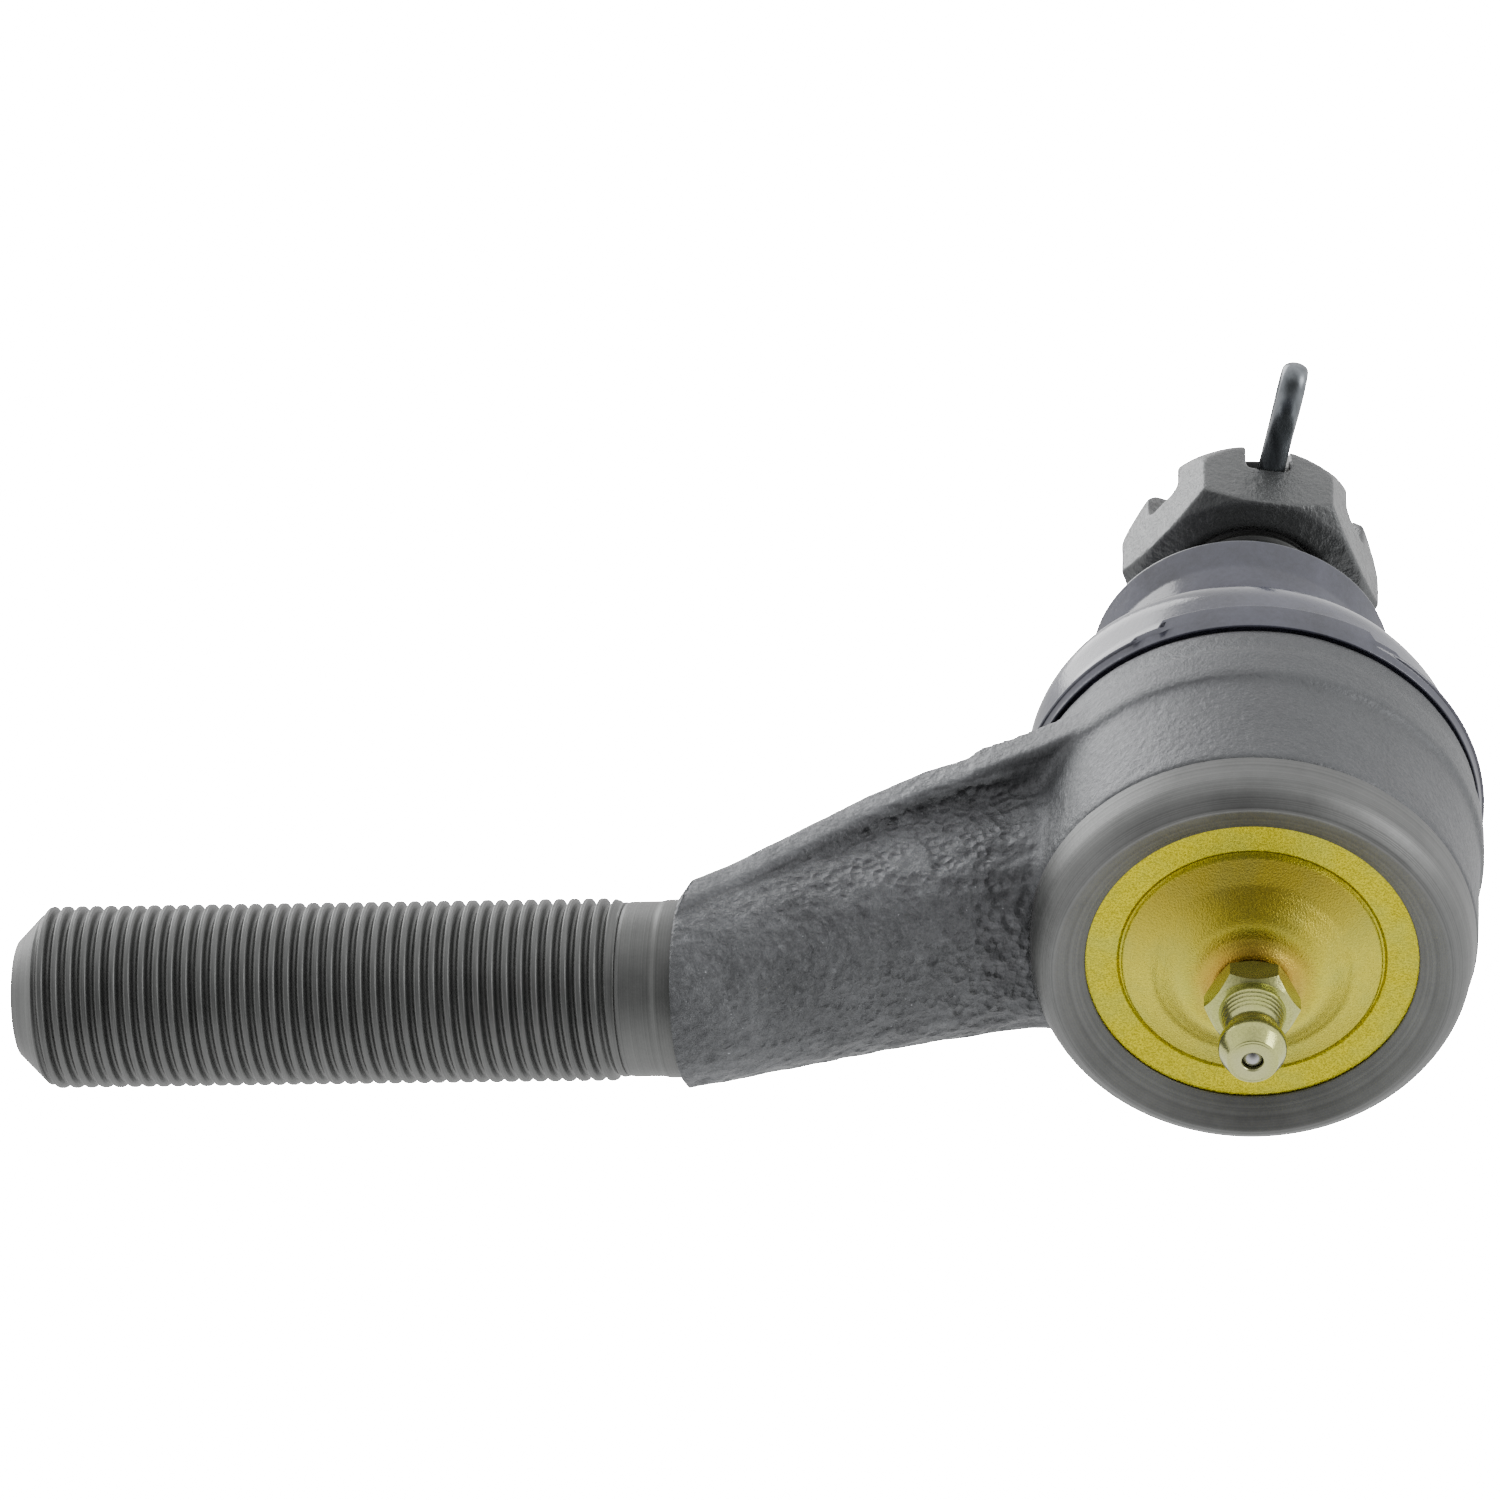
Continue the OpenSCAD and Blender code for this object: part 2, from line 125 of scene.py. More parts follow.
class ForgingSettings(bpy.types.PropertyGroup):
    """Sizes of the housing, arm and shank."""

    band_r: length("Band radius", "Radius of the trimmed band", HOUSING_HIGH.x)
    top_z: length("Top", "Height of the housing's top face", HOUSING_HIGH.z)
    band_z: length("Band top", "Height of the trimmed band's top edge", 4.9 * MM)
    band_h: length("Band height", "Height of the trimmed band", 3.8 * MM)
    step_z: length("Turned step", "Height where the turned rim starts", -11.5 * MM)
    rim_z: length("Rim", "Height of the rolled rim's lowest edge", -17 * MM)
    lip_r: length("Lip radius", "Inner radius of the rolled lip", 15.8 * MM)
    ridge_r: length("Ridge radius", "Radius of the rolled rim's lowest edge", 19 * MM)
    bore_r: length("Bore radius", "Radius of the bearing bore", 17 * MM)
    throat_r: length("Throat radius", "Radius of the opening for the stud", 12.2 * MM)
    shoulder_z: length("Shoulder", "Height of the bearing shoulder", 6.6 * MM)
    voxel: length("Voxel", "Grain of the forged surface's mesh", 0.36 * MM)
    fillet: bpy.props.IntProperty(
        name="Fillet", description="Smoothing passes where the arm meets the housing", default=26)
    thread_r: length("Thread radius", "Outside radius of the shank thread", 8.73 * MM)
    thread_len: length("Thread length", "Length of the shank thread", 59 * MM)
    end_d: length("Shank end", "Distance from the stud axis to the shank's end", 119 * MM)
    neck_len: length("Neck length", "Length of the plain neck", 4.4 * MM)
    pitch: length("Pitch", "Pitch of both threads", 1.411 * MM)


class CoverSettings(bpy.types.PropertyGroup):
    """Sizes of the cover plate and grease fitting."""

    plate_r: length("Plate radius", "Outside radius of the cover plate", COVER_HIGH.x)
    face_z: length("Face", "Height of the cover plate's outer face", COVER_HIGH.z - 1.6 * MM)
    dome_r: length("Dome radius", "Radius where the raised middle starts", 12.4 * MM)
    hex_af: length("Hexagon", "Width of the fitting's hexagon across flats", 7.94 * MM)
    hex_turn: angle("Hexagon turn", "Turn of the fitting's hexagon", 38)


class BootSettings(bpy.types.PropertyGroup):
    """Sizes of the dust boot."""

    wall: length("Wall", "Thickness of the boot's wall", 2 * MM)
    tab_from: angle("Tab start", "Where the wide tab of the lip starts", -106.5)
    tab_to: angle("Tab end", "Where the wide tab of the lip ends", -52.7)
    tab_side: angle("Side step", "Turn from the wide tab to the next step", 7.5)
    lean: length("Lean", "How far the boot leans towards the arm", 0.95 * MM)


class StudSettings(bpy.types.PropertyGroup):
    """Sizes of the stud, nut and split pin."""

    ball_r: length("Ball radius", "Radius of the ball", STUD_HIGH.x)
    neck_r: length("Neck radius", "Radius of the neck above the ball", 6.8 * MM)
    taper_r: length("Taper radius", "Radius of the taper's large end", 8.65 * MM)
    taper_z: length("Taper start", "Height of the taper's large end", 20 * MM)
    taper_len: length("Taper length", "Length of the taper", 22 * MM)
    thread_r: length("Thread radius", "Outside radius of the stud thread", 7.14 * MM)
    nut_af: length("Nut", "Width of the nut across flats", 22.2 * MM)
    nut_turn: angle("Nut turn", "Turn of the nut and the cross hole about the stud", 14.7)
    slot_w: length("Slot width", "Width of the nut's slots", 4.2 * MM)
    slot_depth: length("Slot depth", "Depth of the nut's slots", 5.7 * MM)
    pin_r: length("Pin radius", "Radius of the split pin's two legs together", 1.35 * MM)
    eye_r: length("Eye radius", "Outside radius of the split pin's eye", 2.7 * MM)


class FinishSettings(bpy.types.PropertyGroup):
    """Colours of the finishes."""

    forged: colour("Forged steel", "Phosphate over rough forging", (0.090, 0.093, 0.098))
    turned: colour("Turned steel", "Turned and phosphated steel", (0.135, 0.137, 0.135))
    yellow: colour("Yellow zinc", "Yellow chromate on the cover", (0.56, 0.49, 0.008))
    pale: colour("Pale zinc", "Pale chromate on the fitting", (0.50, 0.50, 0.17))
    rubber: colour("Rubber", "Boot rubber with a violet bloom", (0.040, 0.041, 0.060))
    nut: colour("Nut steel", "Dark phosphate on the nut", (0.100, 0.103, 0.105))
    wire: colour("Wire", "Split pin wire", (0.13, 0.14, 0.15))
    bearing: colour("Bearing steel", "Ground bearing steel", (0.42, 0.40, 0.37))
    ball: colour("Ball steel", "Polished check ball", (0.40, 0.40, 0.40))
    spring: colour("Spring steel", "Bright spring wire", (0.40, 0.40, 0.41))
    nylon: colour("Nylon", "Black ring in the boot's collar", (0.03, 0.03, 0.03))
    gasket: colour("Gasket", "Gasket under the cover", (0.07, 0.05, 0.04))


class StageSettings(bpy.types.PropertyGroup):
    """Camera, lights and floor."""

    azimuth: angle("Azimuth", "Camera's turn about the vertical", 8.45)
    elevation: angle("Elevation", "Camera's height above the horizon", -54.53)
    roll: angle("Roll", "Camera's roll", 2.225)
    distance: length("Distance", "Camera's distance from the aim", 1.5274)
    aim_side: length("Aim, sideways", "Where the camera aims, off the part's middle", 1.6 * MM)
    aim_depth: length("Aim, depth", "Where the camera aims, along Y", -14.73 * MM)
    aim_height: length("Aim, height", "Where the camera aims, along Z", 5.48 * MM)
    lens: bpy.props.FloatProperty(name="Lens", description="Focal length in mm", default=384)
    tent: bpy.props.FloatProperty(
        name="Tent", description="Strength of the light tent", default=1.5)
    opening: bpy.props.FloatProperty(
        name="Opening", description="How much the tent's open side is darker", default=1.34)
    backdrop: bpy.props.FloatProperty(
        name="Backdrop", description="Strength of the white behind the part", default=40)
    floor_z: length("Floor", "Height of the floor", -0.045)
    floor_size: length("Floor size", "Side of the floor", 12)


GROUPS = {
    "forging": ForgingSettings,
    "cover": CoverSettings,
    "boot": BootSettings,
    "stud": StudSettings,
    "finish": FinishSettings,
    "stage": StageSettings,
}


def sizes(context, group):
    """The settings group of this name."""
    return getattr(context.scene, "tie_rod_" + group)


# ------------------------------------------------------------- shader maths


class Value:
    """A number or socket in a node tree. Python's operators on it add Math nodes."""

    def __init__(self, tree, source):
        self.tree = tree
        self.source = source

    def feed(self, socket):
        """Puts this value on a socket, by a link or as its constant."""
        if isinstance(self.source, bpy.types.NodeSocket):
            self.tree.links.new(self.source, socket)
        else:
            socket.default_value = self.source

    def math(self, operation, *others):
        """The result of a Math node on this value and the others."""
        node = self.tree.nodes.new("ShaderNodeMath")
        node.operation = operation
        for socket, value in zip(node.inputs, (self, *others)):
            wrap(self.tree, value).feed(socket)
        return Value(self.tree, node.outputs[0])

    def __add__(self, other):
        return self.math("ADD", other)

    def __sub__(self, other):
        return self.math("SUBTRACT", other)

    def __rsub__(self, other):
        return wrap(self.tree, other).math("SUBTRACT", self)

    def __mul__(self, other):
        return self.math("MULTIPLY", other)

    def __truediv__(self, other):
        return self.math("DIVIDE", other)

    def __pow__(self, other):
        return self.math("POWER", other)

    __radd__ = __add__
    __rmul__ = __mul__

    def clamp(self):
        """This value held between 0 and 1."""
        return self.math("MINIMUM", 1.0).math("MAXIMUM", 0.0)

    def band(self, low, high):
        """0 below low, 1 above high and a straight ramp between."""
        return ((self - low) / (high - low)).clamp()


def wrap(tree, value):
    """Makes a Value of a plain number, and leaves a Value as it is."""
    return value if isinstance(value, Value) else Value(tree, value)


class Nodes:
    """Adds nodes to a tree."""

    def __init__(self, tree):
        self.tree = tree

    def add(self, kind, settings=None, inputs=None, output=0):
        """Adds a node of any kind, with its settings first and then its sockets."""
        node = self.tree.nodes.new("ShaderNode" + kind)
        for name, value in (settings or {}).items():
            setattr(node, name, value)
        for name, value in (inputs or {}).items():
            wrap(self.tree, value).feed(node.inputs[name])
        return Value(self.tree, node.outputs[output])


class Finish(Nodes):
    """A material built from a Principled shader."""

    def __init__(self, name, **constants):
        self.material = bpy.data.materials.new(name)
        self.material.use_nodes = True
        super().__init__(self.material.node_tree)
        self.shader = self.tree.nodes["Principled BSDF"]
        for socket, value in constants.items():
            self.set(socket.replace("_", " "), value)
        self.place = self.add("TexCoord", output="Object")

    def set(self, socket, value):
        """Puts a value or link on one of the shader's sockets."""
        wrap(self.tree, value).feed(self.shader.inputs[socket])

    def noise(self, scale, detail=3.0, roughness=0.55, stretch=None, place=None, distort=0.0):
        """Noise of this many grains a metre, from 0 to 1."""
        place = place or self.place
        if stretch:
            place = self.add("Mapping", {"vector_type": "POINT"},
                             {"Vector": place, "Scale": stretch})
        return self.add("TexNoise", None, {
            "Vector": place, "Scale": scale, "Detail": detail, "Roughness": roughness,
            "Distortion": distort})

    def cells(self, scale):
        """Distance to the nearest of many scattered points."""
        return self.add("TexVoronoi", None, {"Vector": self.place, "Scale": scale}, "Distance")

    def mix(self, factor, first, second):
        """A blend of two colours."""
        first, second = (
            (*part, 1) if isinstance(part, tuple) else part for part in (first, second))
        return self.add("Mix", {"data_type": "RGBA"}, {0: factor, 6: first, 7: second}, 2)

    def shade(self, factor, base, dark, light):
        """Colours the surface from a darker to a lighter tint of its base."""
        self.set("Base Color", self.mix(factor, tint(base, dark), tint(base, light)))

    def axes(self, place=None):
        """The x, y and z of a place."""
        node = self.tree.nodes.new("ShaderNodeSeparateXYZ")
        (place or self.place).feed(node.inputs[0])
        return [Value(self.tree, output) for output in node.outputs]

    def radius(self):
        """Distance from the stud axis."""
        x, y, _ = self.axes()
        return (x * x + y * y) ** 0.5

    def shank_place(self):
        """Object coordinates turned so that z runs along the shank axis."""
        turn = SHANK_AXIS.to_track_quat("Z", "Y").inverted().to_euler()
        moved = self.add("VectorMath", {"operation": "SUBTRACT"},
                         {0: self.place, 1: tuple(SHANK_START)})
        return self.add("Mapping", {"vector_type": "POINT"},
                        {"Vector": moved, "Rotation": tuple(turn)})

    def bump(self, height, depth):
        """Raises the surface by height times depth metres."""
        self.set("Normal", self.add("Bump", None, {
            "Strength": 1.0, "Distance": depth, "Height": height}))


def tint(base, factor):
    """A colour made lighter or darker."""
    return tuple(min(1.0, part * factor) for part in base)


def forged_finish(name, base, dull):
    """Phosphated forging: pitted and dull, roughest on the arm, smooth where it was trimmed, with
    painted light that lightens the arm and its trimmed strip.
    """
    finish = Finish(name, Metallic=0.6)
    x = finish.axes()[0]
    on_arm = (0 - x).band(19 * MM, 26 * MM)
    trimmed = finish.add("Attribute", {"attribute_name": "trimmed"}, output="Fac")
    strip = trimmed.band(0.4, 0.6) * on_arm
    rough = (on_arm * 0.92 + 0.08) * (1 - trimmed * 0.85)
    broad = finish.noise(110, 4, 0.6)
    grain = finish.noise(2400, 3, 0.7)
    peel = finish.noise(760, 5, 0.66, stretch=(0.8, 1, 1), distort=0.5)
    scales = finish.cells(900).band(0.1, 0.6)
    near = 1 - (0 - x).band(34 * MM, 52 * MM)
    specks = finish.noise(2300, 1, 0.5).band(0.77, 0.82)
    mottle = (broad * 0.45 + peel * 0.2 + grain * 0.35).band(0.36, 0.64)
    # Painted light: on_arm * 0.18 lightens the arm, whose face turns to the tent's dark open
    # side, and strip * 0.1 lightens its trimmed strip further.
    mottle_and_painted_light = 0.42 + (mottle - 0.5) * (on_arm * 0.55 + 0.2) + on_arm * 0.18 + strip * 0.1
    shade = finish.mix(mottle_and_painted_light.clamp(), tint(base, 0.5), tint(base, 1.7))
    finish.set("Base Color", finish.mix(specks * on_arm * 0.7, shade, tint(base, 5)))
    finish.set("Roughness", dull - grain * 0.22)
    finish.bump(grain * 0.14 + (peel * 0.8 + scales * (0.15 + 0.4 * near)) * rough, 0.9 * MM)
    return finish.material


def turned_finish(name, base, along_shank=False, coarse=1.0):
    """Lathe-turned steel: fine rings across the turning axis under a thin phosphate."""
    finish = Finish(name, Metallic=0.8)
    if along_shank:
        ring = finish.axes(finish.shank_place())[2]
    else:
        ring = finish.radius() + finish.axes()[2] * 0.8
    spread = finish.add("CombineXYZ", None, {0: ring, 1: 0.0, 2: 0.0})
    rings = finish.noise(4200 * coarse, 2, 0.6, place=spread)
    broad = finish.noise(700 * coarse, 2, 0.5, place=spread)
    stains = finish.noise(160, 4, 0.65)
    grain = finish.noise(2600, 2, 0.6)
    lines = rings * 0.65 + broad * 0.35
    factor = (lines * 0.7 + stains * 0.3).band(0.32, 0.68)
    finish.shade(factor, base, 0.62, 1.5)
    finish.set("Roughness", 0.36 + stains * 0.16 + grain * 0.08)
    finish.bump(lines * 0.8 + grain * 0.2, 0.05 * MM)
    return finish.material


def zinc_finish(name, base, pale, stain_and_shade_colour, stain_from, stain_to, sparkle, gloss):
    """Chromated zinc plate: speckled, stained round the middle, and browner on one side by
    painted shade.
    """
    finish = Finish(name, Metallic=0.92)
    speckle = finish.noise(5200, 2, 0.75)
    cloud = finish.noise(230, 3, 0.5)
    near = 1 - (finish.radius() + (cloud - 0.5) * 1.6 * MM).band(stain_from, stain_to)
    inner = 1 - (finish.radius() / (12.5 * MM)).band(0.97, 1.01)
    body = finish.mix(speckle.band(0.38, 0.62), tint(base, 0.62), tint(base, 1.18))
    body = finish.mix(inner * 0.45, body, pale)
    body = finish.mix(cloud.band(0.45, 0.7) * 0.35, body, (0.42, 0.47, 0.10))
    # Painted shade: inside the ring, the -Y side is mixed towards a darker tint of the stain
    # colour.
    painted_near_side_shade = (0 - finish.axes()[1]).band(0, 9 * MM) * inner * (0.25 + speckle * 0.4)
    body = finish.mix(painted_near_side_shade, body, tint(stain_and_shade_colour, 0.5))
    finish.set("Base Color", finish.mix(near * 0.75, body, stain_and_shade_colour))
    finish.set("Roughness", gloss + speckle * 0.18)
    finish.bump(speckle * 0.7 + cloud * 0.3, 0.05 * MM * sparkle)
    return finish.material


def rubber_finish(name, base):
    """Moulded rubber with a waxy bloom."""
    finish = Finish(name, Metallic=0.0, Specular_IOR_Level=0.8)
    bloom = finish.noise(120, 4, 0.6, distort=0.6)
    dust = finish.noise(1800, 3, 0.6)
    finish.shade((bloom * 0.7 + dust * 0.3).band(0.35, 0.7), base, 0.75, 1.7)
    finish.set("Roughness", 0.09 + bloom * 0.12 + dust * 0.06)
    finish.bump(dust * 0.4 + bloom * 0.6, 0.05 * MM)
    return finish.material


def wire_finish(name, base):
    """Drawn steel wire with streaks along it."""
    finish = Finish(name, Metallic=0.9)
    streak = finish.noise(500, 3, 0.6, stretch=(1, 0.15, 1))
    finish.shade(streak.band(0.35, 0.65), base, 0.7, 1.6)
    finish.set("Roughness", 0.24 + streak * 0.16)
    finish.bump(streak, 0.03 * MM)
    return finish.material


def bearing_finish(name, base):
    """Ground bearing steel with a film of oil."""
    finish = Finish(name, Metallic=0.95, Coat_Weight=0.3)
    ring = finish.axes()[2]
    spread = finish.add("CombineXYZ", None, {0: 0.0, 1: 0.0, 2: ring})
    rings = finish.noise(3000, 2, 0.5, place=spread)
    film = finish.noise(200, 3, 0.5)
    finish.shade(film, base, 0.8, 1.15)
    finish.set("Roughness", 0.22 + film * 0.14)
    finish.bump(rings, 0.02 * MM)
    return finish.material


def moulded_finish(name, base):
    """Matt moulding or gasket with a fine grain."""
    finish = Finish(name, Metallic=0.0)
    grain = finish.noise(1500, 3, 0.6)
    finish.shade(grain, base, 0.8, 1.3)
    finish.set("Roughness", 0.5 + grain * 0.2)
    finish.bump(grain, 0.05 * MM)
    return finish.material


# ------------------------------------------------------------ mesh helpers


def arc(centre_r, centre_z, radius, start, stop, steps=8):
    """Points of a circular arc in the profile plane, angles in degrees."""
    return [(centre_r + radius * math.cos(math.radians(start + (stop - start) * i / steps)),
             centre_z + radius * math.sin(math.radians(start + (stop - start) * i / steps)))
            for i in range(steps + 1)]


def rounded(corners, steps=5):
    """A closed outline with each (r, z, fillet) corner rounded by a Bezier arc."""
    outline = []
    for i, (r, z, fillet) in enumerate(corners):
        here = Vector((r, z))
        before = Vector(corners[i - 1][:2]) - here
        after = Vector(corners[(i + 1) % len(corners)][:2]) - here
        reach = min(fillet, before.length * 0.49, after.length * 0.49)
        if reach <= 0:
            outline.append(tuple(here))
            continue
        start = here + before.normalized() * reach
        stop = here + after.normalized() * reach
        for k in range(steps + 1):
            t = k / steps
            outline.append(tuple(start * (1 - t) ** 2 + here * 2 * t * (1 - t) + stop * t * t))
    return outline


def spun(outline, steps=144, closed=True):
    """A mesh turned from an outline of (r, z) points round the Z axis."""
    shape = bmesh.new()
    points = [shape.verts.new((max(r, 0.0), 0, z)) for r, z in outline]
    pairs = list(zip(points, points[1:])) + ([(points[-1], points[0])] if closed else [])
    edges = [shape.edges.new(pair) for pair in pairs if pair[0].co.x + pair[1].co.x > 1e-9]
    bmesh.ops.spin(shape, geom=points + edges, cent=(0, 0, 0), axis=(0, 0, 1),
                   angle=TURN, steps=steps, use_merge=True)
    tidy(shape)
    return shape


def tidy(shape, distance=1e-6):
    """Merges doubles, drops loose points and points the faces outwards."""
    bmesh.ops.remove_doubles(shape, verts=shape.verts, dist=distance)
    bmesh.ops.dissolve_degenerate(shape, dist=distance, edges=shape.edges)
    loose = [vert for vert in shape.verts if not vert.link_faces]
    bmesh.ops.delete(shape, geom=loose, context="VERTS")
    bmesh.ops.recalc_face_normals(shape, faces=shape.faces)


def as_object(name, shape):
    """Makes an object of a bmesh, at the origin."""
    mesh = bpy.data.meshes.new(name)
    shape.to_mesh(mesh)
    shape.free()
    piece = bpy.data.objects.new(name, mesh)
    bpy.context.scene.collection.objects.link(piece)
    return piece


def apply_modifiers(piece):
    """Replaces the mesh by what its modifiers make of it."""
    graph = bpy.context.evaluated_depsgraph_get()
    mesh = bpy.data.meshes.new_from_object(piece.evaluated_get(graph))
    piece.modifiers.clear()
    piece.data = mesh
    return piece


def cut(piece, tool, operation="DIFFERENCE"):
    """Cuts a piece by another object, which is then removed."""
    modifier = piece.modifiers.new("cut", "BOOLEAN")
    modifier.operation = operation
    modifier.solver = "EXACT"
    modifier.object = tool
    tool.hide_render = True
    apply_modifiers(piece)
    bpy.data.objects.remove(tool)
    return piece


def voxelled(piece, grain):
    """Joins the closed shells of a piece into one even skin."""
    modifier = piece.modifiers.new("skin", "REMESH")
    modifier.mode = "VOXEL"
    modifier.voxel_size = grain
    return apply_modifiers(piece)


def coat(piece, material):
    """Gives a piece its material and smooth shading."""
    piece.data.materials.clear()
    piece.data.materials.append(material)
    piece.data.polygons.foreach_set("use_smooth", [True] * len(piece.data.polygons))


def finished(piece, material, body, replaces=None):
    """Gives a piece its material and body, and hides the node that it stands for."""
    coat(piece, material)
    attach(piece, body)
    if replaces:
        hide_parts(replaces)


def along_shank(shape, distance=0.0):
    """Moves a shape turned round Z onto the shank axis, this far out."""
    turn = SHANK_AXIS.to_track_quat("Z", "Y").to_matrix().to_4x4()
    place = Matrix.Translation(SHANK_START + SHANK_AXIS * distance) @ turn
    bmesh.ops.transform(shape, matrix=place, verts=shape.verts)


def relax(shape, verts, passes):
    """Smooths points towards their neighbours."""
    for _ in range(passes):
        bmesh.ops.smooth_vert(shape, verts=verts, factor=0.5,
                              use_axis_x=True, use_axis_y=True, use_axis_z=True)


def bridged(shape, rings):
    """Bridges rings of points, one after the other, and caps both ends."""
    edges_of = [list({edge for vert in ring for edge in vert.link_edges}) for ring in rings]
    for first, second in zip(edges_of, edges_of[1:]):
        bmesh.ops.bridge_loops(shape, edges=first + second)
    for ring in (edges_of[0], edges_of[-1]):
        bmesh.ops.holes_fill(shape, edges=ring, sides=0)


def smoothstep(t):
    """An ease from 0 to 1."""
    t = max(0.0, min(1.0, t))
    return t * t * (3 - 2 * t)


def thread_shape(radius, pitch, length_m, depth, chamfer, root_fade, samples, steps):
    """A rolled helical thread along Z, with rounded crests that have a fine seam."""
    turns = int(length_m / pitch) + 2
    shape = bmesh.new()
    points = []
    for i in range(turns * samples + 1):
        t = (i % samples) / samples
        swell = 0.5 - 0.5 * math.cos(TURN * t)
        height = smoothstep(swell * 1.15) - 0.07 * math.exp(-((t - 0.5) / 0.045) ** 2)
        reach = radius - depth * (1 - height)
        points.append(shape.verts.new((reach, 0, (i / samples - 1) * pitch)))
    edges = [shape.edges.new(pair) for pair in zip(points, points[1:])]
    bmesh.ops.spin(shape, geom=points + edges, cent=(0, 0, 0), axis=(0, 0, 1),
                   dvec=(0, 0, pitch / steps), angle=TURN, steps=steps, use_merge=False)
    bmesh.ops.remove_doubles(shape, verts=shape.verts, dist=pitch / samples * 0.2)
    for height, normal in ((0.0, (0, 0, -1)), (length_m, (0, 0, 1))):
        cutting = shape.verts[:] + shape.edges[:] + shape.faces[:]
        bmesh.ops.bisect_plane(shape, geom=cutting, plane_co=(0, 0, height), plane_no=normal,
                               clear_outer=True)
    for vert in shape.verts:
        reach = math.hypot(vert.co.x, vert.co.y)
        limit = radius - max(0.0, chamfer - (length_m - vert.co.z))
        fade = smoothstep(1 - vert.co.z / root_fade)
        wanted = min(reach, limit)
        wanted += (radius - depth * 0.55 - wanted) * fade
        vert.co.x *= wanted / reach
        vert.co.y *= wanted / reach
    rims = [edge for edge in shape.edges if edge.is_boundary]
    bmesh.ops.holes_fill(shape, edges=rims, sides=0)
    tidy(shape, 1e-7)
    return shape


# ------------------------------------------------------------------ pieces


def forged_outline(s):
    """Outline of the rough part of the housing: outside, top, throat and bore."""
    low_z = s.step_z - 1.2 * MM
    band_r = s.band_r - 0.05 * MM
    return rounded([
        (s.throat_r + 1.6 * MM, s.top_z - 0.05 * MM, 0.3 * MM),
        (band_r - 0.55 * MM, s.top_z - 0.05 * MM, 1.7 * MM),
        (band_r - 0.4 * MM, s.band_z + 0.7 * MM, 0.8 * MM),
        (band_r, s.band_z, 0.35 * MM),
        (band_r, s.band_z - s.band_h, 0.35 * MM),
        (band_r - 0.45 * MM, s.band_z - s.band_h - 0.5 * MM, 0.8 * MM),
        (band_r - 0.75 * MM, s.step_z, 0.1 * MM),
        (band_r - 2.2 * MM, low_z, 0.1 * MM),
        (s.bore_r + 0.02 * MM, low_z, 0),
        (s.bore_r + 0.02 * MM, s.shoulder_z, 0.1 * MM),
        (s.throat_r, s.shoulder_z, 0.2 * MM),
        (s.throat_r, s.top_z - 2 * MM, 0.3 * MM),
    ])


ARM_STATIONS = (  # distance out, half width, top, bottom, in millimetres
    (18.6, 11.5, 8.6, -12.5),
    (22.5, 10.6, 8.3, -13.4),
    (27, 10.3, 7.2, -14.5),
    (33, 10.0, 4.9, -15.7),
    (40, 9.75, 2.2, -17.4),
    (47, 9.5, -0.4, -19.2),
    (54, 9.4, -2.5, -20.9),
    (61, 9.35, -3.2, -21.5),
)
BAND_STATIONS = (  # distance out, half width, height of the band's top edge
    (17, 14.4, 4.9),
    (21, 13.7, 4.9),
    (25, 13.0, 4.8),
    (30, 12.1, 4.2),
    (36, 11.2, 1.9),
    (42, 10.5, -1.4),
    (49, 9.95, -5.6),
    (55, 9.85, -8.8),
    (59, 9.8, -10.6),
)
BAND_FILLET = (  # distance out and half width of the corner between band and housing
    (13.5, 17.6), (15.5, 16.6), (17.5, 15.7), (19.5, 14.95), (22, 14.15), (25.5, 13.1),
    (21, 12), (18, 12.4), (15, 15.4),
)


def ring_at(shape, distance, half_w, top, bottom, squareness, segments):
    """A rounded rectangular ring of edges across the arm."""
    made = bmesh.ops.create_circle(shape, cap_ends=False, segments=segments, radius=1)
    middle, half_h = (top + bottom) / 2, (top - bottom) / 2
    power = 2 / squareness
    for vert in made["verts"]:
        across, up = vert.co.x, vert.co.y
        vert.co = (
            -distance * MM,
            math.copysign(abs(across) ** power, across) * half_w * MM,
            (middle + math.copysign(abs(up) ** power, up) * half_h) * MM)
    return made["verts"]


def lofted(shape, stations, squareness, segments):
    """A closed loft through rings at the stations."""
    bridged(shape, [ring_at(shape, *station, squareness(i / (len(stations) - 1)), segments)
                    for i, station in enumerate(stations)])


def band_at(distance):
    """Half width and top height of the arm's trimmed band at this distance out."""
    for (d0, w0, z0), (d1, w1, z1) in zip(BAND_STATIONS, BAND_STATIONS[1:]):
        if distance <= d1:
            share = max(0.0, (distance - d0) / (d1 - d0))
            return w0 + (w1 - w0) * share, z0 + (z1 - z0) * share
    return BAND_STATIONS[-1][1:]


def band_depth(distance, s):
    """Height of the trimmed band's face, in millimetres: it widens a little on the arm."""
    return s.band_h / MM + 0.7 * smoothstep((distance - 17) / 8)


def trimmed_share(point, s):
    """1 on the smooth trimmed band and 0 on the rough forging."""
    half_w, top = band_at(-point.x / MM)
    radius = math.hypot(point.x, point.y)
    if radius < s.band_r + 0.1 * MM and point.x > -s.band_r * 0.8:
        off = (s.band_r - radius) / MM
        top, depth = s.band_z / MM, s.band_h / MM
    else:
        off = half_w - abs(point.y) / MM
        depth = band_depth(-point.x / MM, s)
    z = point.z / MM
    inside = min(top - z, z - top + depth)
    return smoothstep((inside + 0.15) / 0.4) * smoothstep(1 - (off - 0.4) / 0.5)


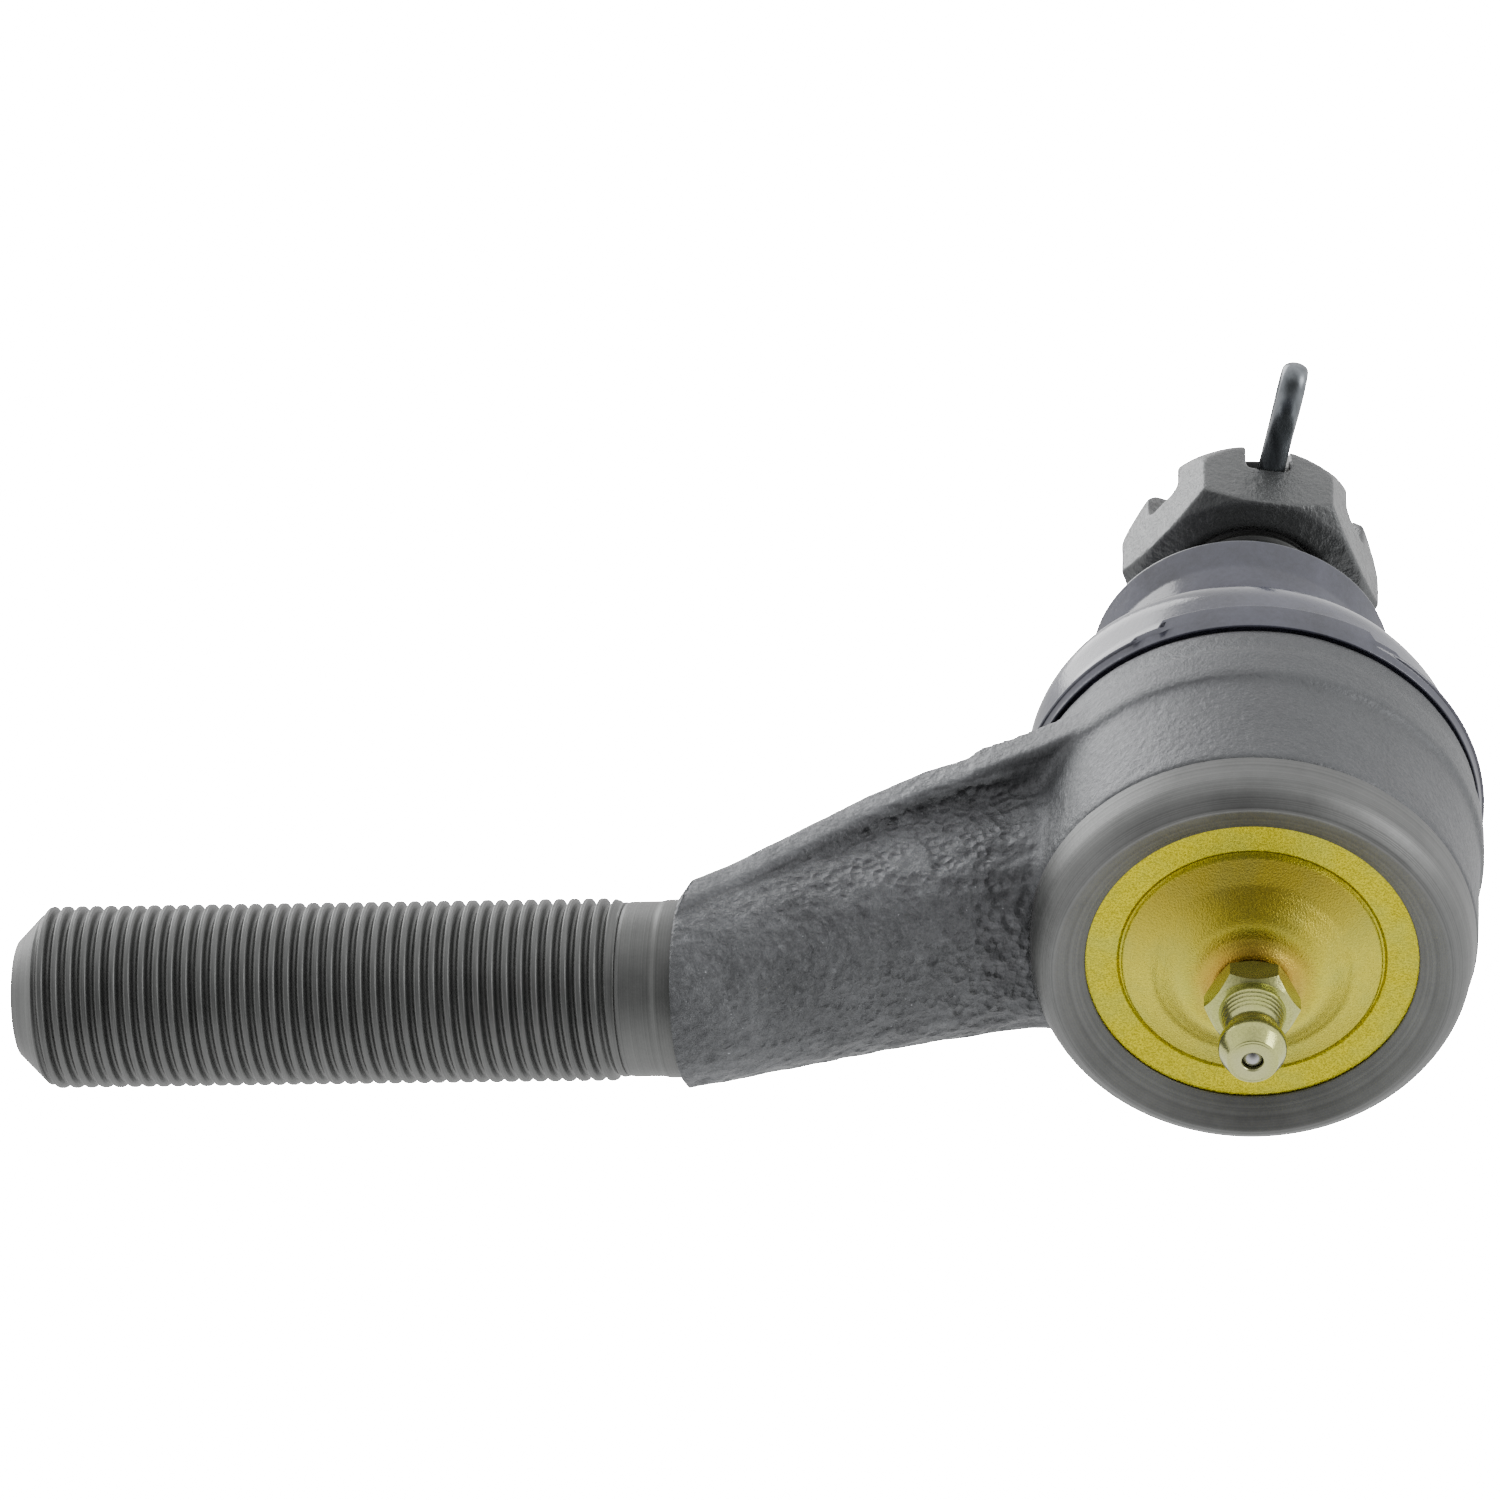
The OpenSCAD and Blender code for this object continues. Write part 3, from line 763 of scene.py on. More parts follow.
def forge_skin(point, s):
    """How far the rough forged skin stands off at a point, in metres."""
    radius = math.hypot(point.x, point.y)
    away = smoothstep((radius - s.band_r + 0.5 * MM) / (5 * MM))
    below = smoothstep((s.band_z - s.band_h - point.z) / (3 * MM))
    skin = noise.noise(point * 1900) * 0.012 + noise.noise(point * 260) * 0.05
    flow = Vector((point.x * 380, point.y * 950, point.z * 950)) + Vector((7, 3, 1))
    skin += noise.noise(flow) * 0.13 * away
    pit = noise.noise(point * 620 + Vector((3, 9, 2)))
    skin -= 0.16 * smoothstep((pit - 0.18) / 0.3) * away
    if -1.45 * s.band_r < point.x < -0.75 * s.band_r:
        root = math.exp(-((radius - s.band_r - 1.9 * MM) / (2.3 * MM)) ** 2)
        bend = noise.noise(point * 300) * 0.9
        wrinkle = noise.noise(Vector((point.x * 170, point.y * 850 + bend, point.z * 850 + bend)))
        skin += (wrinkle - 0.6 * abs(wrinkle)) * 0.5 * root * below
    return skin * MM


def make_forging(context):
    """The rough forging: housing wall, arm and trimmed band in one skin."""
    s = sizes(context, "forging")
    shape = spun(forged_outline(s), 180)
    lofted(shape, ARM_STATIONS, lambda t: 3.2 - 1.1 * t, 40)
    bands = [(d, w, z, z - band_depth(d, s)) for d, w, z in BAND_STATIONS]
    lofted(shape, bands, lambda t: 9.0, 48)
    for side in (-1, 1):
        corner = [shape.verts.new((-d * MM, side * w * MM, s.band_z)) for d, w in BAND_FILLET]
        grown = bmesh.ops.extrude_face_region(
            shape, geom=[shape.faces.new(corner)], use_keep_orig=True)
        lower = [part for part in grown["geom"] if isinstance(part, bmesh.types.BMVert)]
        bmesh.ops.translate(shape, verts=lower, vec=(0, 0, -s.band_h))
    tidy(shape)
    piece = voxelled(as_object("forging", shape), s.voxel)
    shape = bmesh.new()
    shape.from_mesh(piece.data)
    trimmed = shape.verts.layers.float.new("trimmed")
    root = []
    for vert in shape.verts:
        vert[trimmed] = trimmed_share(vert.co, s)
        radius = math.hypot(vert.co.x, vert.co.y)
        if (vert.co.x < -0.62 * s.band_r and s.bore_r + 1.5 * MM < radius < 27.5 * MM
                and vert[trimmed] < 0.2 and s.step_z - 0.4 * MM < vert.co.z < s.top_z - 0.8 * MM):
            root.append(vert)
    relax(shape, root, s.fillet)
    relax(shape, shape.verts, 2)
    shape.normal_update()
    for vert in shape.verts:
        inner = math.hypot(vert.co.x, vert.co.y) < s.bore_r + 0.8 * MM
        if not inner and vert.co.z < s.top_z - 0.4 * MM:
            vert.co += vert.normal * forge_skin(vert.co, s) * (1 - 0.85 * vert[trimmed])
    bmesh.ops.recalc_face_normals(shape, faces=shape.faces)
    shape.to_mesh(piece.data)
    shape.free()
    end = s.end_d - s.thread_len - s.neck_len - 1.2 * MM
    turned_off = spun([
        (0, end), (9.1 * MM, end), (11.6 * MM, end - 1.9 * MM),
        (14 * MM, end - 1.9 * MM), (14 * MM, end + 12 * MM), (0, end + 12 * MM)], 96)
    along_shank(turned_off)
    return cut(piece, as_object("turned_off", turned_off))


def make_rim(context):
    """The turned rim, rolled over the cover plate's edge."""
    s = sizes(context, "forging")
    c = sizes(context, "cover")
    step_r = s.band_r - 0.95 * MM
    return as_object("turned_rim", spun(rounded([
        (step_r - 0.3 * MM, s.step_z + 0.25 * MM, 0.1 * MM),
        (step_r, s.step_z - 0.05 * MM, 0.2 * MM),
        (step_r - 0.6 * MM, s.rim_z + 1.75 * MM, 1.3 * MM),
        (s.ridge_r, s.rim_z + 0.02 * MM, 0.5 * MM),
        (s.lip_r + 0.1 * MM, s.rim_z + 1.75 * MM, 0.3 * MM),
        (s.lip_r, c.face_z - 0.1 * MM, 0.05 * MM),
        (c.plate_r + 0.1 * MM, c.face_z - 0.02 * MM, 0),
        (c.plate_r + 0.1 * MM, s.step_z + 0.2 * MM, 0),
    ], 8), 192))


def make_neck(context):
    """The plain turned neck between the arm and the thread."""
    s = sizes(context, "forging")
    neck_r = s.thread_r - 0.38 * MM
    start = -1.6 * MM
    shape = spun(rounded([
        (0, start, 0), (neck_r + 0.15 * MM, start, 0.1 * MM),
        (neck_r + 0.15 * MM, 0.4 * MM, 0.3 * MM), (neck_r, 0.9 * MM, 0.3 * MM),
        (neck_r, s.neck_len - 0.4 * MM, 0.3 * MM),
        (neck_r - 0.3 * MM, s.neck_len + 0.2 * MM, 0.1 * MM),
        (0, s.neck_len + 0.2 * MM, 0)]), 128)
    along_shank(shape, s.end_d - s.thread_len - s.neck_len)
    return as_object("turned_neck", shape)


def make_shank_thread(context):
    """The rolled thread of the shank."""
    s = sizes(context, "forging")
    shape = thread_shape(
        s.thread_r, s.pitch, s.thread_len, 0.76 * MM, 3.1 * MM, 1.5 * MM, samples=12, steps=96)
    along_shank(shape, s.end_d - s.thread_len)
    return as_object("shank_thread", shape)


def dome_height(share):
    """Height of the cover's raised middle, from its edge (0) to the fitting's boss (1)."""
    return (0.07 + 0.28 * min(share / 0.38, 1) + 0.43 * smoothstep((share - 0.28) / 0.42)
            + 0.22 * smoothstep((share - 0.82) / 0.18))


def make_cover(context):
    """The pressed cover plate: flat edge, ring crease, raised middle and boss."""
    c = sizes(context, "cover")
    face, dome_h, boss_r = c.face_z + 0.05 * MM, c.face_z - COVER_LOW.z, 3.6 * MM
    steps = 40
    dome = [(c.dome_r + (boss_r - c.dome_r) * i / steps, face - dome_h * dome_height(i / steps))
            for i in range(steps + 1)]
    top_z = COVER_HIGH.z - 0.01 * MM
    outline = rounded([
        (3.1 * MM, COVER_LOW.z + 2.6 * MM, 0.2 * MM),
        ((c.dome_r + boss_r) / 2, c.face_z - 0.9 * MM, 0.6 * MM),
        (c.dome_r - 1.4 * MM, c.face_z + 1.3 * MM, 0.3 * MM),
        (c.dome_r - 1.4 * MM, top_z, 0.1 * MM),
        (c.plate_r - 0.02 * MM, top_z, 0.1 * MM),
        (c.plate_r - 0.02 * MM, face, 0.2 * MM),
        (c.dome_r + 0.45 * MM, face, 0.1 * MM),
        (c.dome_r + 0.2 * MM, face + 0.25 * MM, 0.1 * MM),
        (c.dome_r + 0.04 * MM, face + 0.2 * MM, 0.05 * MM),
    ], 4)
    return as_object("cover", spun(outline + dome + [(3.1 * MM, COVER_LOW.z + 0.05 * MM)], 192))


def hex_prism(name, across, low, high, turn):
    """A hexagonal prism round the Z axis, with its first flat towards +X."""
    shape = bmesh.new()
    bmesh.ops.create_cone(shape, cap_ends=True, segments=6, radius1=across / math.sqrt(3),
                          radius2=across / math.sqrt(3), depth=high - low)
    place = Matrix.Translation((0, 0, (low + high) / 2)) @ Matrix.Rotation(turn, 4, "Z")
    bmesh.ops.transform(shape, matrix=place, verts=shape.verts)
    return as_object(name, shape)


def make_fitting(context):
    """The grease fitting: collar, chamfered hexagon, turned cone, neck, head and bored tip."""
    c = sizes(context, "cover")
    tip, top, base = FITTING_LOW.z, FITTING_HIGH.z, COVER_LOW.z
    ball_r = (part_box("check_ball")[1].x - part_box("check_ball")[0].x) / 2
    mouth, bore = ball_r * 0.87, ball_r + 0.1 * MM
    neck_r = bore + 1.15 * MM
    head_r = neck_r + 0.85 * MM
    corner_r = c.hex_af / math.sqrt(3)
    hexagon = hex_prism("fitting", c.hex_af, base - 4.02 * MM, base - 0.85 * MM, c.hex_turn)
    trim = as_object("trim", spun(rounded([
        (0, base, 0), (c.hex_af / 2 - 0.25 * MM, base - 0.8 * MM, 0),
        (corner_r + 0.1 * MM, base - 1.5 * MM, 0.2 * MM),
        (corner_r + 0.1 * MM, base - 3.0 * MM, 0.2 * MM),
        (c.hex_af / 2 - 0.2 * MM, base - 4.03 * MM, 0.1 * MM), (0, base - 4.03 * MM, 0)]), 96))
    cut(hexagon, trim, "INTERSECT")
    cone = []
    for i in range(5):
        at = i / 5
        radius = c.hex_af / 2 - 0.75 * MM + (neck_r - c.hex_af / 2 + 0.95 * MM) * at
        height = base - 3.95 * MM - 2.3 * MM * at
        cone += [(radius, height, 0), (radius - 0.07 * MM, height - 0.33 * MM, 0.1 * MM)]
    barrel = as_object("barrel", spun(rounded([
        (mouth + 0.1 * MM, tip + 0.02 * MM, 0.05 * MM),
        (head_r - 1.15 * MM, tip + 0.02 * MM, 0.03 * MM),
        (head_r - 1.1 * MM, tip + 0.07 * MM, 0.03 * MM),
        (head_r - 0.85 * MM, tip + 0.02 * MM, 0.12 * MM),
        (head_r, tip + 1.75 * MM, 0.4 * MM),
        (head_r + 0.05 * MM, tip + 2.8 * MM, 0.3 * MM),
        (neck_r + 0.05 * MM, tip + 3.75 * MM, 0.4 * MM),
        (neck_r, tip + 4.7 * MM, 0.3 * MM),
        *reversed(cone),
        (3.3 * MM, base - 3 * MM, 0), (3.3 * MM, base - 1.2 * MM, 0),
        (3.42 * MM, base - 0.86 * MM, 0.05 * MM), (3.42 * MM, base - 0.02 * MM, 0.2 * MM),
        (3.05 * MM, base + 0.1 * MM, 0.1 * MM), (3.05 * MM, top - 0.3 * MM, 0.2 * MM),
        (2.7 * MM, top - 0.01 * MM, 0.1 * MM), (bore * 0.7, top - 0.01 * MM, 0.1 * MM),
        (bore * 0.7, tip + 6.5 * MM, 0.1 * MM), (bore, tip + 6.4 * MM, 0.1 * MM),
        (bore, tip + 0.72 * MM, 0.05 * MM), (mouth, tip + 0.66 * MM, 0.02 * MM),
        (mouth, tip + 0.15 * MM, 0.05 * MM),
    ], 6), 96))
    cut(hexagon, barrel, "UNION")
    hexagon.data.set_sharp_from_angle(angle=math.radians(30))
    return hexagon


def make_check_ball(context):
    """The polished check ball in the fitting's mouth."""
    low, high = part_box("check_ball")
    shape = bmesh.new()
    bmesh.ops.create_icosphere(shape, subdivisions=4, radius=(high.z - low.z) / 2 * 0.998)
    bmesh.ops.translate(shape, verts=shape.verts, vec=(low + high) / 2)
    return as_object("check_valve_ball", shape)


def make_boot(context):
    """The moulded boot: tabbed lip, bulge, waist and flared collar."""
    b = sizes(context, "boot")
    s = sizes(context, "forging")
    lip_r, top, low = BOOT_HIGH.x, BOOT_HIGH.z, BOOT_LOW.z
    rest = s.top_z + 0.2 * MM
    bulge = 21.0 * MM
    outline = rounded([
        (lip_r - 0.7 * MM, low + 0.05 * MM, 0.05 * MM),
        (lip_r - 0.5 * MM, low + 0.05 * MM, 0.1 * MM),
        (lip_r - 0.25 * MM, rest + 0.6 * MM, 0.2 * MM),
        (lip_r - 0.02 * MM, rest + 2.0 * MM, 0.12 * MM),
        (bulge + 0.2 * MM, rest + 2.3 * MM, 0.12 * MM),
        (bulge, rest + 3.4 * MM, 0.4 * MM),
        (bulge, rest + 7.6 * MM, 2.6 * MM),
        (bulge - 3.1 * MM, rest + 11.5 * MM, 2.6 * MM),
        (12.4 * MM, rest + 14.2 * MM, 2.2 * MM),
        (11.9 * MM, rest + 16.3 * MM, 1.4 * MM),
        (13.0 * MM, top - 6.0 * MM, 1.2 * MM),
        (13.5 * MM, top - 2.95 * MM, 0.25 * MM),
        (14.65 * MM, top - 0.1 * MM, 0.35 * MM),
        (14.0 * MM, top - 0.02 * MM, 0.3 * MM),
        (9.4 * MM, top - 0.3 * MM, 0.4 * MM),
        (8.3 * MM, top - 0.9 * MM, 0.3 * MM),
        (8.25 * MM, top - 5 * MM, 0.3 * MM),
        (9.9 * MM, top - 7 * MM, 0.6 * MM),
        (9.9 * MM, rest + 15 * MM, 1.2 * MM),
        (bulge - 5.6 * MM, rest + 11.2 * MM, 1.6 * MM),
        (bulge - b.wall, rest + 6.4 * MM, 2.4 * MM),
        (bulge - b.wall, rest + 2.6 * MM, 0.6 * MM),
        (s.throat_r + 3.4 * MM, rest + 1.6 * MM, 0.4 * MM),
        (s.throat_r + 3.4 * MM, rest + 0.02 * MM, 0.2 * MM),
        (lip_r - 0.65 * MM, rest + 0.02 * MM, 0.1 * MM),
    ], 7)
    shape = spun(outline, 240)
    for vert in shape.verts:
        turn = math.atan2(vert.co.y, vert.co.x)
        radius = math.hypot(vert.co.x, vert.co.y)
        if rest + 0.3 * MM < vert.co.z < rest + 2.4 * MM and radius > bulge + 0.1 * MM:
            wide = b.tab_from < turn < b.tab_to
            side = b.tab_from - b.tab_side < turn < b.tab_to + b.tab_side
            drop = 0.0 if wide else (1.0 if side else 1.4)
            vert.co.z -= drop * MM * smoothstep((vert.co.z - rest) / (1.9 * MM))
        wobble = noise.noise(Vector((math.cos(turn), math.sin(turn), vert.co.z * 120)) * 1.7)
        vert.co.x *= 1 + wobble * 0.0035 * (radius < lip_r - 1.3 * MM)
        vert.co.y *= 1 + wobble * 0.0035 * (radius < lip_r - 1.3 * MM)
        vert.co.x -= (b.lean * smoothstep((vert.co.z - rest - 1 * MM) / (8 * MM))
                      * smoothstep((radius - 9 * MM) / (3 * MM)))
    bmesh.ops.recalc_face_normals(shape, faces=shape.faces)
    return as_object("boot", shape)


def make_stud(context):
    """The ball stud: ball head, neck, taper, thread and cross hole."""
    t = sizes(context, "stud")
    f = sizes(context, "forging")
    flat = STUD_LOW.z
    head_top = 0.4 * MM
    taper_end = t.taper_z + t.taper_len
    end_r = t.taper_r - t.taper_len / 16
    head = arc(0, 0, t.ball_r, math.degrees(math.asin(flat / t.ball_r)),
               math.degrees(math.asin(head_top / t.ball_r)), 24)
    outline = [(0, flat)] + head + rounded([
        (t.neck_r, head_top, 0.1 * MM), (t.neck_r, t.taper_z - 5 * MM, 2 * MM),
        (t.taper_r, t.taper_z - 1 * MM, 0.6 * MM), (t.taper_r, t.taper_z, 0.4 * MM),
        (end_r, taper_end, 0.3 * MM), (6.4 * MM, taper_end + 0.5 * MM, 0.2 * MM),
        (6.4 * MM, taper_end + 0.9 * MM, 0.1 * MM)]) + [(0, taper_end + 0.9 * MM)]
    body = as_object("stud", spun(outline, 144, closed=False))
    thread_len = STUD_HIGH.z - taper_end - 0.6 * MM
    thread = thread_shape(
        t.thread_r, f.pitch, thread_len, 0.62 * MM, 1.1 * MM, 0.8 * MM, samples=10, steps=80)
    bmesh.ops.translate(thread, verts=thread.verts, vec=(0, 0, taper_end + 0.6 * MM))
    hole = bmesh.new()
    bmesh.ops.create_cone(hole, cap_ends=True, segments=40, radius1=t.pin_r + 0.45 * MM,
                          radius2=t.pin_r + 0.45 * MM, depth=30 * MM)
    turn = Matrix.Rotation(t.nut_turn, 4, "Z") @ Matrix.Rotation(TURN / 4, 4, "X")
    pin_z = (PIN_LOW.z + PIN_HIGH.z) / 2
    bmesh.ops.transform(hole, matrix=Matrix.Translation((0, 0, pin_z)) @ turn, verts=hole.verts)
    threaded = cut(as_object("stud_thread", thread), as_object("hole", hole))
    return body, threaded


def make_nut(context):
    """The castle nut: chamfered hexagon, rounded crown, six slots and a plain bore."""
    t = sizes(context, "stud")
    low, high = NUT_LOW.z, NUT_HIGH.z
    corner_r = t.nut_af / math.sqrt(3)
    crown_r = t.nut_af / 2 - 1.3 * MM
    bore_r = t.thread_r + 0.03 * MM
    nut = hex_prism("nut", t.nut_af - 0.05 * MM, low, high, t.nut_turn + TURN / 12)
    trim = as_object("trim", spun(rounded([
        (bore_r, low + 0.9 * MM, 0.2 * MM), (bore_r + 1.1 * MM, low + 0.05 * MM, 0.2 * MM),
        (t.nut_af / 2 - 0.1 * MM, low + 0.05 * MM, 0.2 * MM),
        (corner_r + 0.1 * MM, low + 1.2 * MM, 0.5 * MM),
        (corner_r + 0.1 * MM, high - 5.2 * MM, 2.0 * MM),
        (crown_r + 0.95 * MM, high - 1.2 * MM, 2.4 * MM),
        (crown_r - 1.0 * MM, high - 0.02 * MM, 0.9 * MM), (bore_r, high - 0.02 * MM, 0.3 * MM),
    ], 8), 120))
    cut(nut, trim, "INTERSECT")
    for i in range(6):
        slot = bmesh.new()
        bmesh.ops.create_cube(slot, size=1)
        turn = Matrix.Rotation(t.nut_turn + TURN * (i + 0.5) / 6, 4, "Z")
        place = Matrix.Translation(((bore_r + corner_r) / 2, 0, high - t.slot_depth / 2 + 1 * MM))
        size = Matrix.Diagonal((corner_r - bore_r + 3 * MM, t.slot_w, t.slot_depth + 2 * MM, 1))
        bmesh.ops.transform(slot, matrix=turn @ place @ size, verts=slot.verts)
        bottom = [edge for edge in slot.edges
                  if all(vert.co.z < high - t.slot_depth + 0.1 * MM for vert in edge.verts)]
        bmesh.ops.bevel(slot, geom=bottom, offset=0.8 * MM, offset_type="OFFSET", segments=3,
                        profile=0.5, affect="EDGES", material=-1)
        cut(nut, as_object("slot", slot))
    voxelled(nut, 0.2 * MM)
    shape = bmesh.new()
    shape.from_mesh(nut.data)
    outer = [vert for vert in shape.verts if math.hypot(vert.co.x, vert.co.y) > bore_r + 0.3 * MM]
    upper = [vert for vert in outer if vert.co.z > high - 5.5 * MM]
    relax(shape, outer, 3)
    relax(shape, upper, 8)
    shape.normal_update()
    for vert in outer:
        vert.co += vert.normal * (noise.noise(vert.co * 320) * 0.05
                                  + noise.noise(vert.co * 1200) * 0.015) * MM
    shape.to_mesh(nut.data)
    shape.free()
    return nut


def make_split_pin(context):
    """The split pin: two half-round legs bent from one wire round an open eye."""
    t = sizes(context, "stud")
    side = PIN_AXIS.cross(Vector((0, 0, 1))).normalized()
    centre_z = (PIN_LOW.z + PIN_HIGH.z) / 2
    reach = max(abs(PIN_LOW.y), abs(PIN_HIGH.y)) / abs(PIN_AXIS.y)
    tail = min(abs(PIN_LOW.y), abs(PIN_HIGH.y)) / abs(PIN_AXIS.y)
    eye_out = reach - 0.3 * MM
    half = 0.62 * MM
    wire = t.pin_r * 0.5
    lift = t.eye_r - half - 0.25 * MM
    leg_up = wire + 0.12 * MM
    leg_start, leg_end, bend = 0.4 * MM - tail, eye_out - 8 * MM, 3.1 * MM
    path = []
    for i in range(25):
        path.append((leg_start + (leg_end - leg_start) * i / 24, leg_up))
    for i in range(1, 15):
        path.append((leg_end + 4.9 * MM * i / 14, leg_up + (lift - leg_up) * smoothstep(i / 14)))
    for i in range(1, 13):
        a = math.pi / 2 * i / 12
        path.append((eye_out - bend + (bend - half) * math.sin(a), lift * math.cos(a)))
    path = path + [(along, -up) for along, up in reversed(path[:-1])]
    shape = bmesh.new()
    rings = []
    for i, (along, up) in enumerate(path):
        before, after = path[max(i - 1, 0)], path[min(i + 1, len(path) - 1)]
        ahead = Vector((after[0] - before[0], after[1] - before[1])).normalized()
        outward = Vector((-ahead.y, ahead.x))
        made = bmesh.ops.create_circle(shape, cap_ends=False, segments=20, radius=1)
        middle = PIN_AXIS * along - side * up * 0.08 + Vector((0, 0, centre_z + up))
        lean = PIN_AXIS * outward.x + Vector((0, 0, outward.y))
        for vert in made["verts"]:
            across, high = vert.co.x, vert.co.y
            thick = wire * (1.25 if high > 0 else 0.75)
            vert.co = middle + side * across * t.pin_r * 0.96 + lean * high * thick
        rings.append(made["verts"])
    bridged(shape, rings)
    tidy(shape, 1e-7)
    return as_object("pin", shape)


# ------------------------------------------------------------------- stage


def soft_light(name, place, aim, size, power):
    """A square area light aimed at a point."""
    data = bpy.data.lights.new(name, "AREA")
    data.size = size
    data.energy = power
    lamp = bpy.data.objects.new(name, data)
    lamp.location = place
    lamp.rotation_euler = (Vector(aim) - Vector(place)).to_track_quat("-Z", "Y").to_euler()
    bpy.context.scene.collection.objects.link(lamp)


def make_floor(g):
    """A pale floor that only eyes above it see, so that light comes from below as well."""
    shape = bmesh.new()
    bmesh.ops.create_grid(shape, x_segments=1, y_segments=1, size=g.floor_size / 2)
    bmesh.ops.translate(shape, verts=shape.verts, vec=(0, 0, g.floor_z))
    floor = as_object("floor", shape)
    finish = Finish("floor_white", Roughness=0.8)
    finish.set("Base Color", finish.mix(finish.noise(3), (0.80, 0.80, 0.80), (0.83, 0.83, 0.83)))
    behind = finish.add("NewGeometry", output="Backfacing")
    seen = finish.add("LightPath", output="Is Camera Ray")
    painted = Value(finish.tree, finish.shader.outputs[0])
    mixed = finish.add("MixShader", None, {
        0: behind.math("MAXIMUM", 1 - seen), 1: painted, 2: finish.add("BsdfTransparent")})
    mixed.feed(finish.tree.nodes["Material Output"].inputs["Surface"])
    floor.data.materials.append(finish.material)


def make_world(scene, g, open_side):
    """A white light tent that is open, and so darker, on one side."""
    world = bpy.data.worlds.new("studio")
    world.use_nodes = True
    nodes = Nodes(world.node_tree)
    way = nodes.add("TexCoord", output="Generated")
    facing = nodes.add("VectorMath", {"operation": "DOT_PRODUCT"},
                       {0: way, 1: tuple(open_side)}, "Value")
    light = g.tent - facing.band(0.42, 0.97) * g.opening
    seen = nodes.add("LightPath", output="Is Camera Ray")
    light = light + (g.backdrop - light) * seen
    light.feed(world.node_tree.nodes["Background"].inputs["Strength"])
    world.node_tree.nodes["Background"].inputs["Color"].default_value = (1, 1, 1, 1)
    scene.world = world


# --------------------------------------------------------------- operators


class TIEROD_OT_stage(bpy.types.Operator):
    """Set the camera, the soft lights, the pale surroundings and the floor"""

    bl_idname = "tie_rod.stage"
    bl_label = "Stage"
    bl_options = {"REGISTER", "UNDO"}

    def execute(self, context):
        g = sizes(context, "stage")
        scene = context.scene
        low, high = (Vector(corner) for corner in CAD_BOX)
        centre = (low + high) / 2
        aim = Vector((centre.x + g.aim_side, g.aim_depth, g.aim_height))
        back = Vector((math.sin(g.azimuth) * math.cos(g.elevation),
                       -math.cos(g.azimuth) * math.cos(g.elevation), math.sin(g.elevation)))
        data = bpy.data.cameras.new("camera")
        data.lens = g.lens
        data.clip_end = 20
        camera = bpy.data.objects.new("camera", data)
        camera.rotation_mode = "QUATERNION"
        camera.location = aim + back * g.distance
        turn = (-back).to_track_quat("-Z", "Y")
        camera.rotation_quaternion = turn @ Matrix.Rotation(g.roll, 3, "Z").to_quaternion()
        scene.collection.objects.link(camera)
        scene.camera = camera

        make_world(scene, g, back)
        soft_light("key", (-0.5, -0.2, 0.7), centre, 0.6, 6)
        soft_light("side", (0.75, -0.3, -0.1), centre, 0.4, 3)
        make_floor(g)
        return {"FINISHED"}


class TIEROD_OT_forging(bpy.types.Operator):
    """Model the forging, turned rim, neck and shank thread, in place of the housing"""

    bl_idname = "tie_rod.forging"
    bl_label = "Forging"
    bl_options = {"REGISTER", "UNDO"}

    def execute(self, context):
        colours = sizes(context, "finish")
        forged = forged_finish("forged_steel", colours.forged, 0.56)
        finished(make_forging(context), forged, "housing", "housing")
        rim = turned_finish("turned_rim_steel", colours.turned)
        finished(make_rim(context), rim, "housing")
        shank = turned_finish("rolled_thread_steel", tint(colours.turned, 0.86), True, 1.3)
        finished(make_neck(context), shank, "housing")
        finished(make_shank_thread(context), shank, "housing")
        return {"FINISHED"}


class TIEROD_OT_cover(bpy.types.Operator):
    """Model the cover plate, the grease fitting and its check ball"""

    bl_idname = "tie_rod.cover"
    bl_label = "Cover and fitting"
    bl_options = {"REGISTER", "UNDO"}

    def execute(self, context):
        colours = sizes(context, "finish")
        plate = zinc_finish("yellow_zinc_plate", colours.yellow, (0.62, 0.56, 0.09),
                            (0.42, 0.19, 0.03), 3.4 * MM, 6.4 * MM, 1.9, 0.16)
        pale = zinc_finish("pale_zinc_plate", colours.pale, (0.44, 0.46, 0.17),
                           (0.48, 0.48, 0.26), 1 * MM, 3 * MM, 0.3, 0.08)
        finished(make_cover(context), plate, "housing", "cover_plate")
        finished(make_fitting(context), pale, "housing", "grease_fitting")
        polished = bearing_finish("polished_ball", colours.ball)
        finished(make_check_ball(context), polished, "check_ball", "check_ball")
        return {"FINISHED"}


class TIEROD_OT_boot(bpy.types.Operator):
    """Model the dust boot, which sits between the housing's seat and the stud"""

    bl_idname = "tie_rod.boot"
    bl_label = "Dust boot"
    bl_options = {"REGISTER", "UNDO"}

    def execute(self, context):
        piece = make_boot(context)
        coat(piece, rubber_finish("boot_rubber", sizes(context, "finish").rubber))
        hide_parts("dust_boot")
        lip_top = sizes(context, "forging").top_z + 3 * MM
        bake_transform(piece)
        return {"FINISHED"}


class TIEROD_OT_stud(bpy.types.Operator):
    """Model the ball stud and its thread"""

    bl_idname = "tie_rod.stud"
    bl_label = "Ball stud"
    bl_options = {"REGISTER", "UNDO"}

    def execute(self, context):
        # Painted shade: the stud's turned steel is darkened to half its colour, standing for the
        # shadow under the nut.
        steel = turned_finish("stud_steel", tint(sizes(context, "finish").turned, 0.5))
        body, thread = make_stud(context)
        finished(body, steel, "stud", "ball_stud")
        finished(thread, steel, "stud")
        return {"FINISHED"}


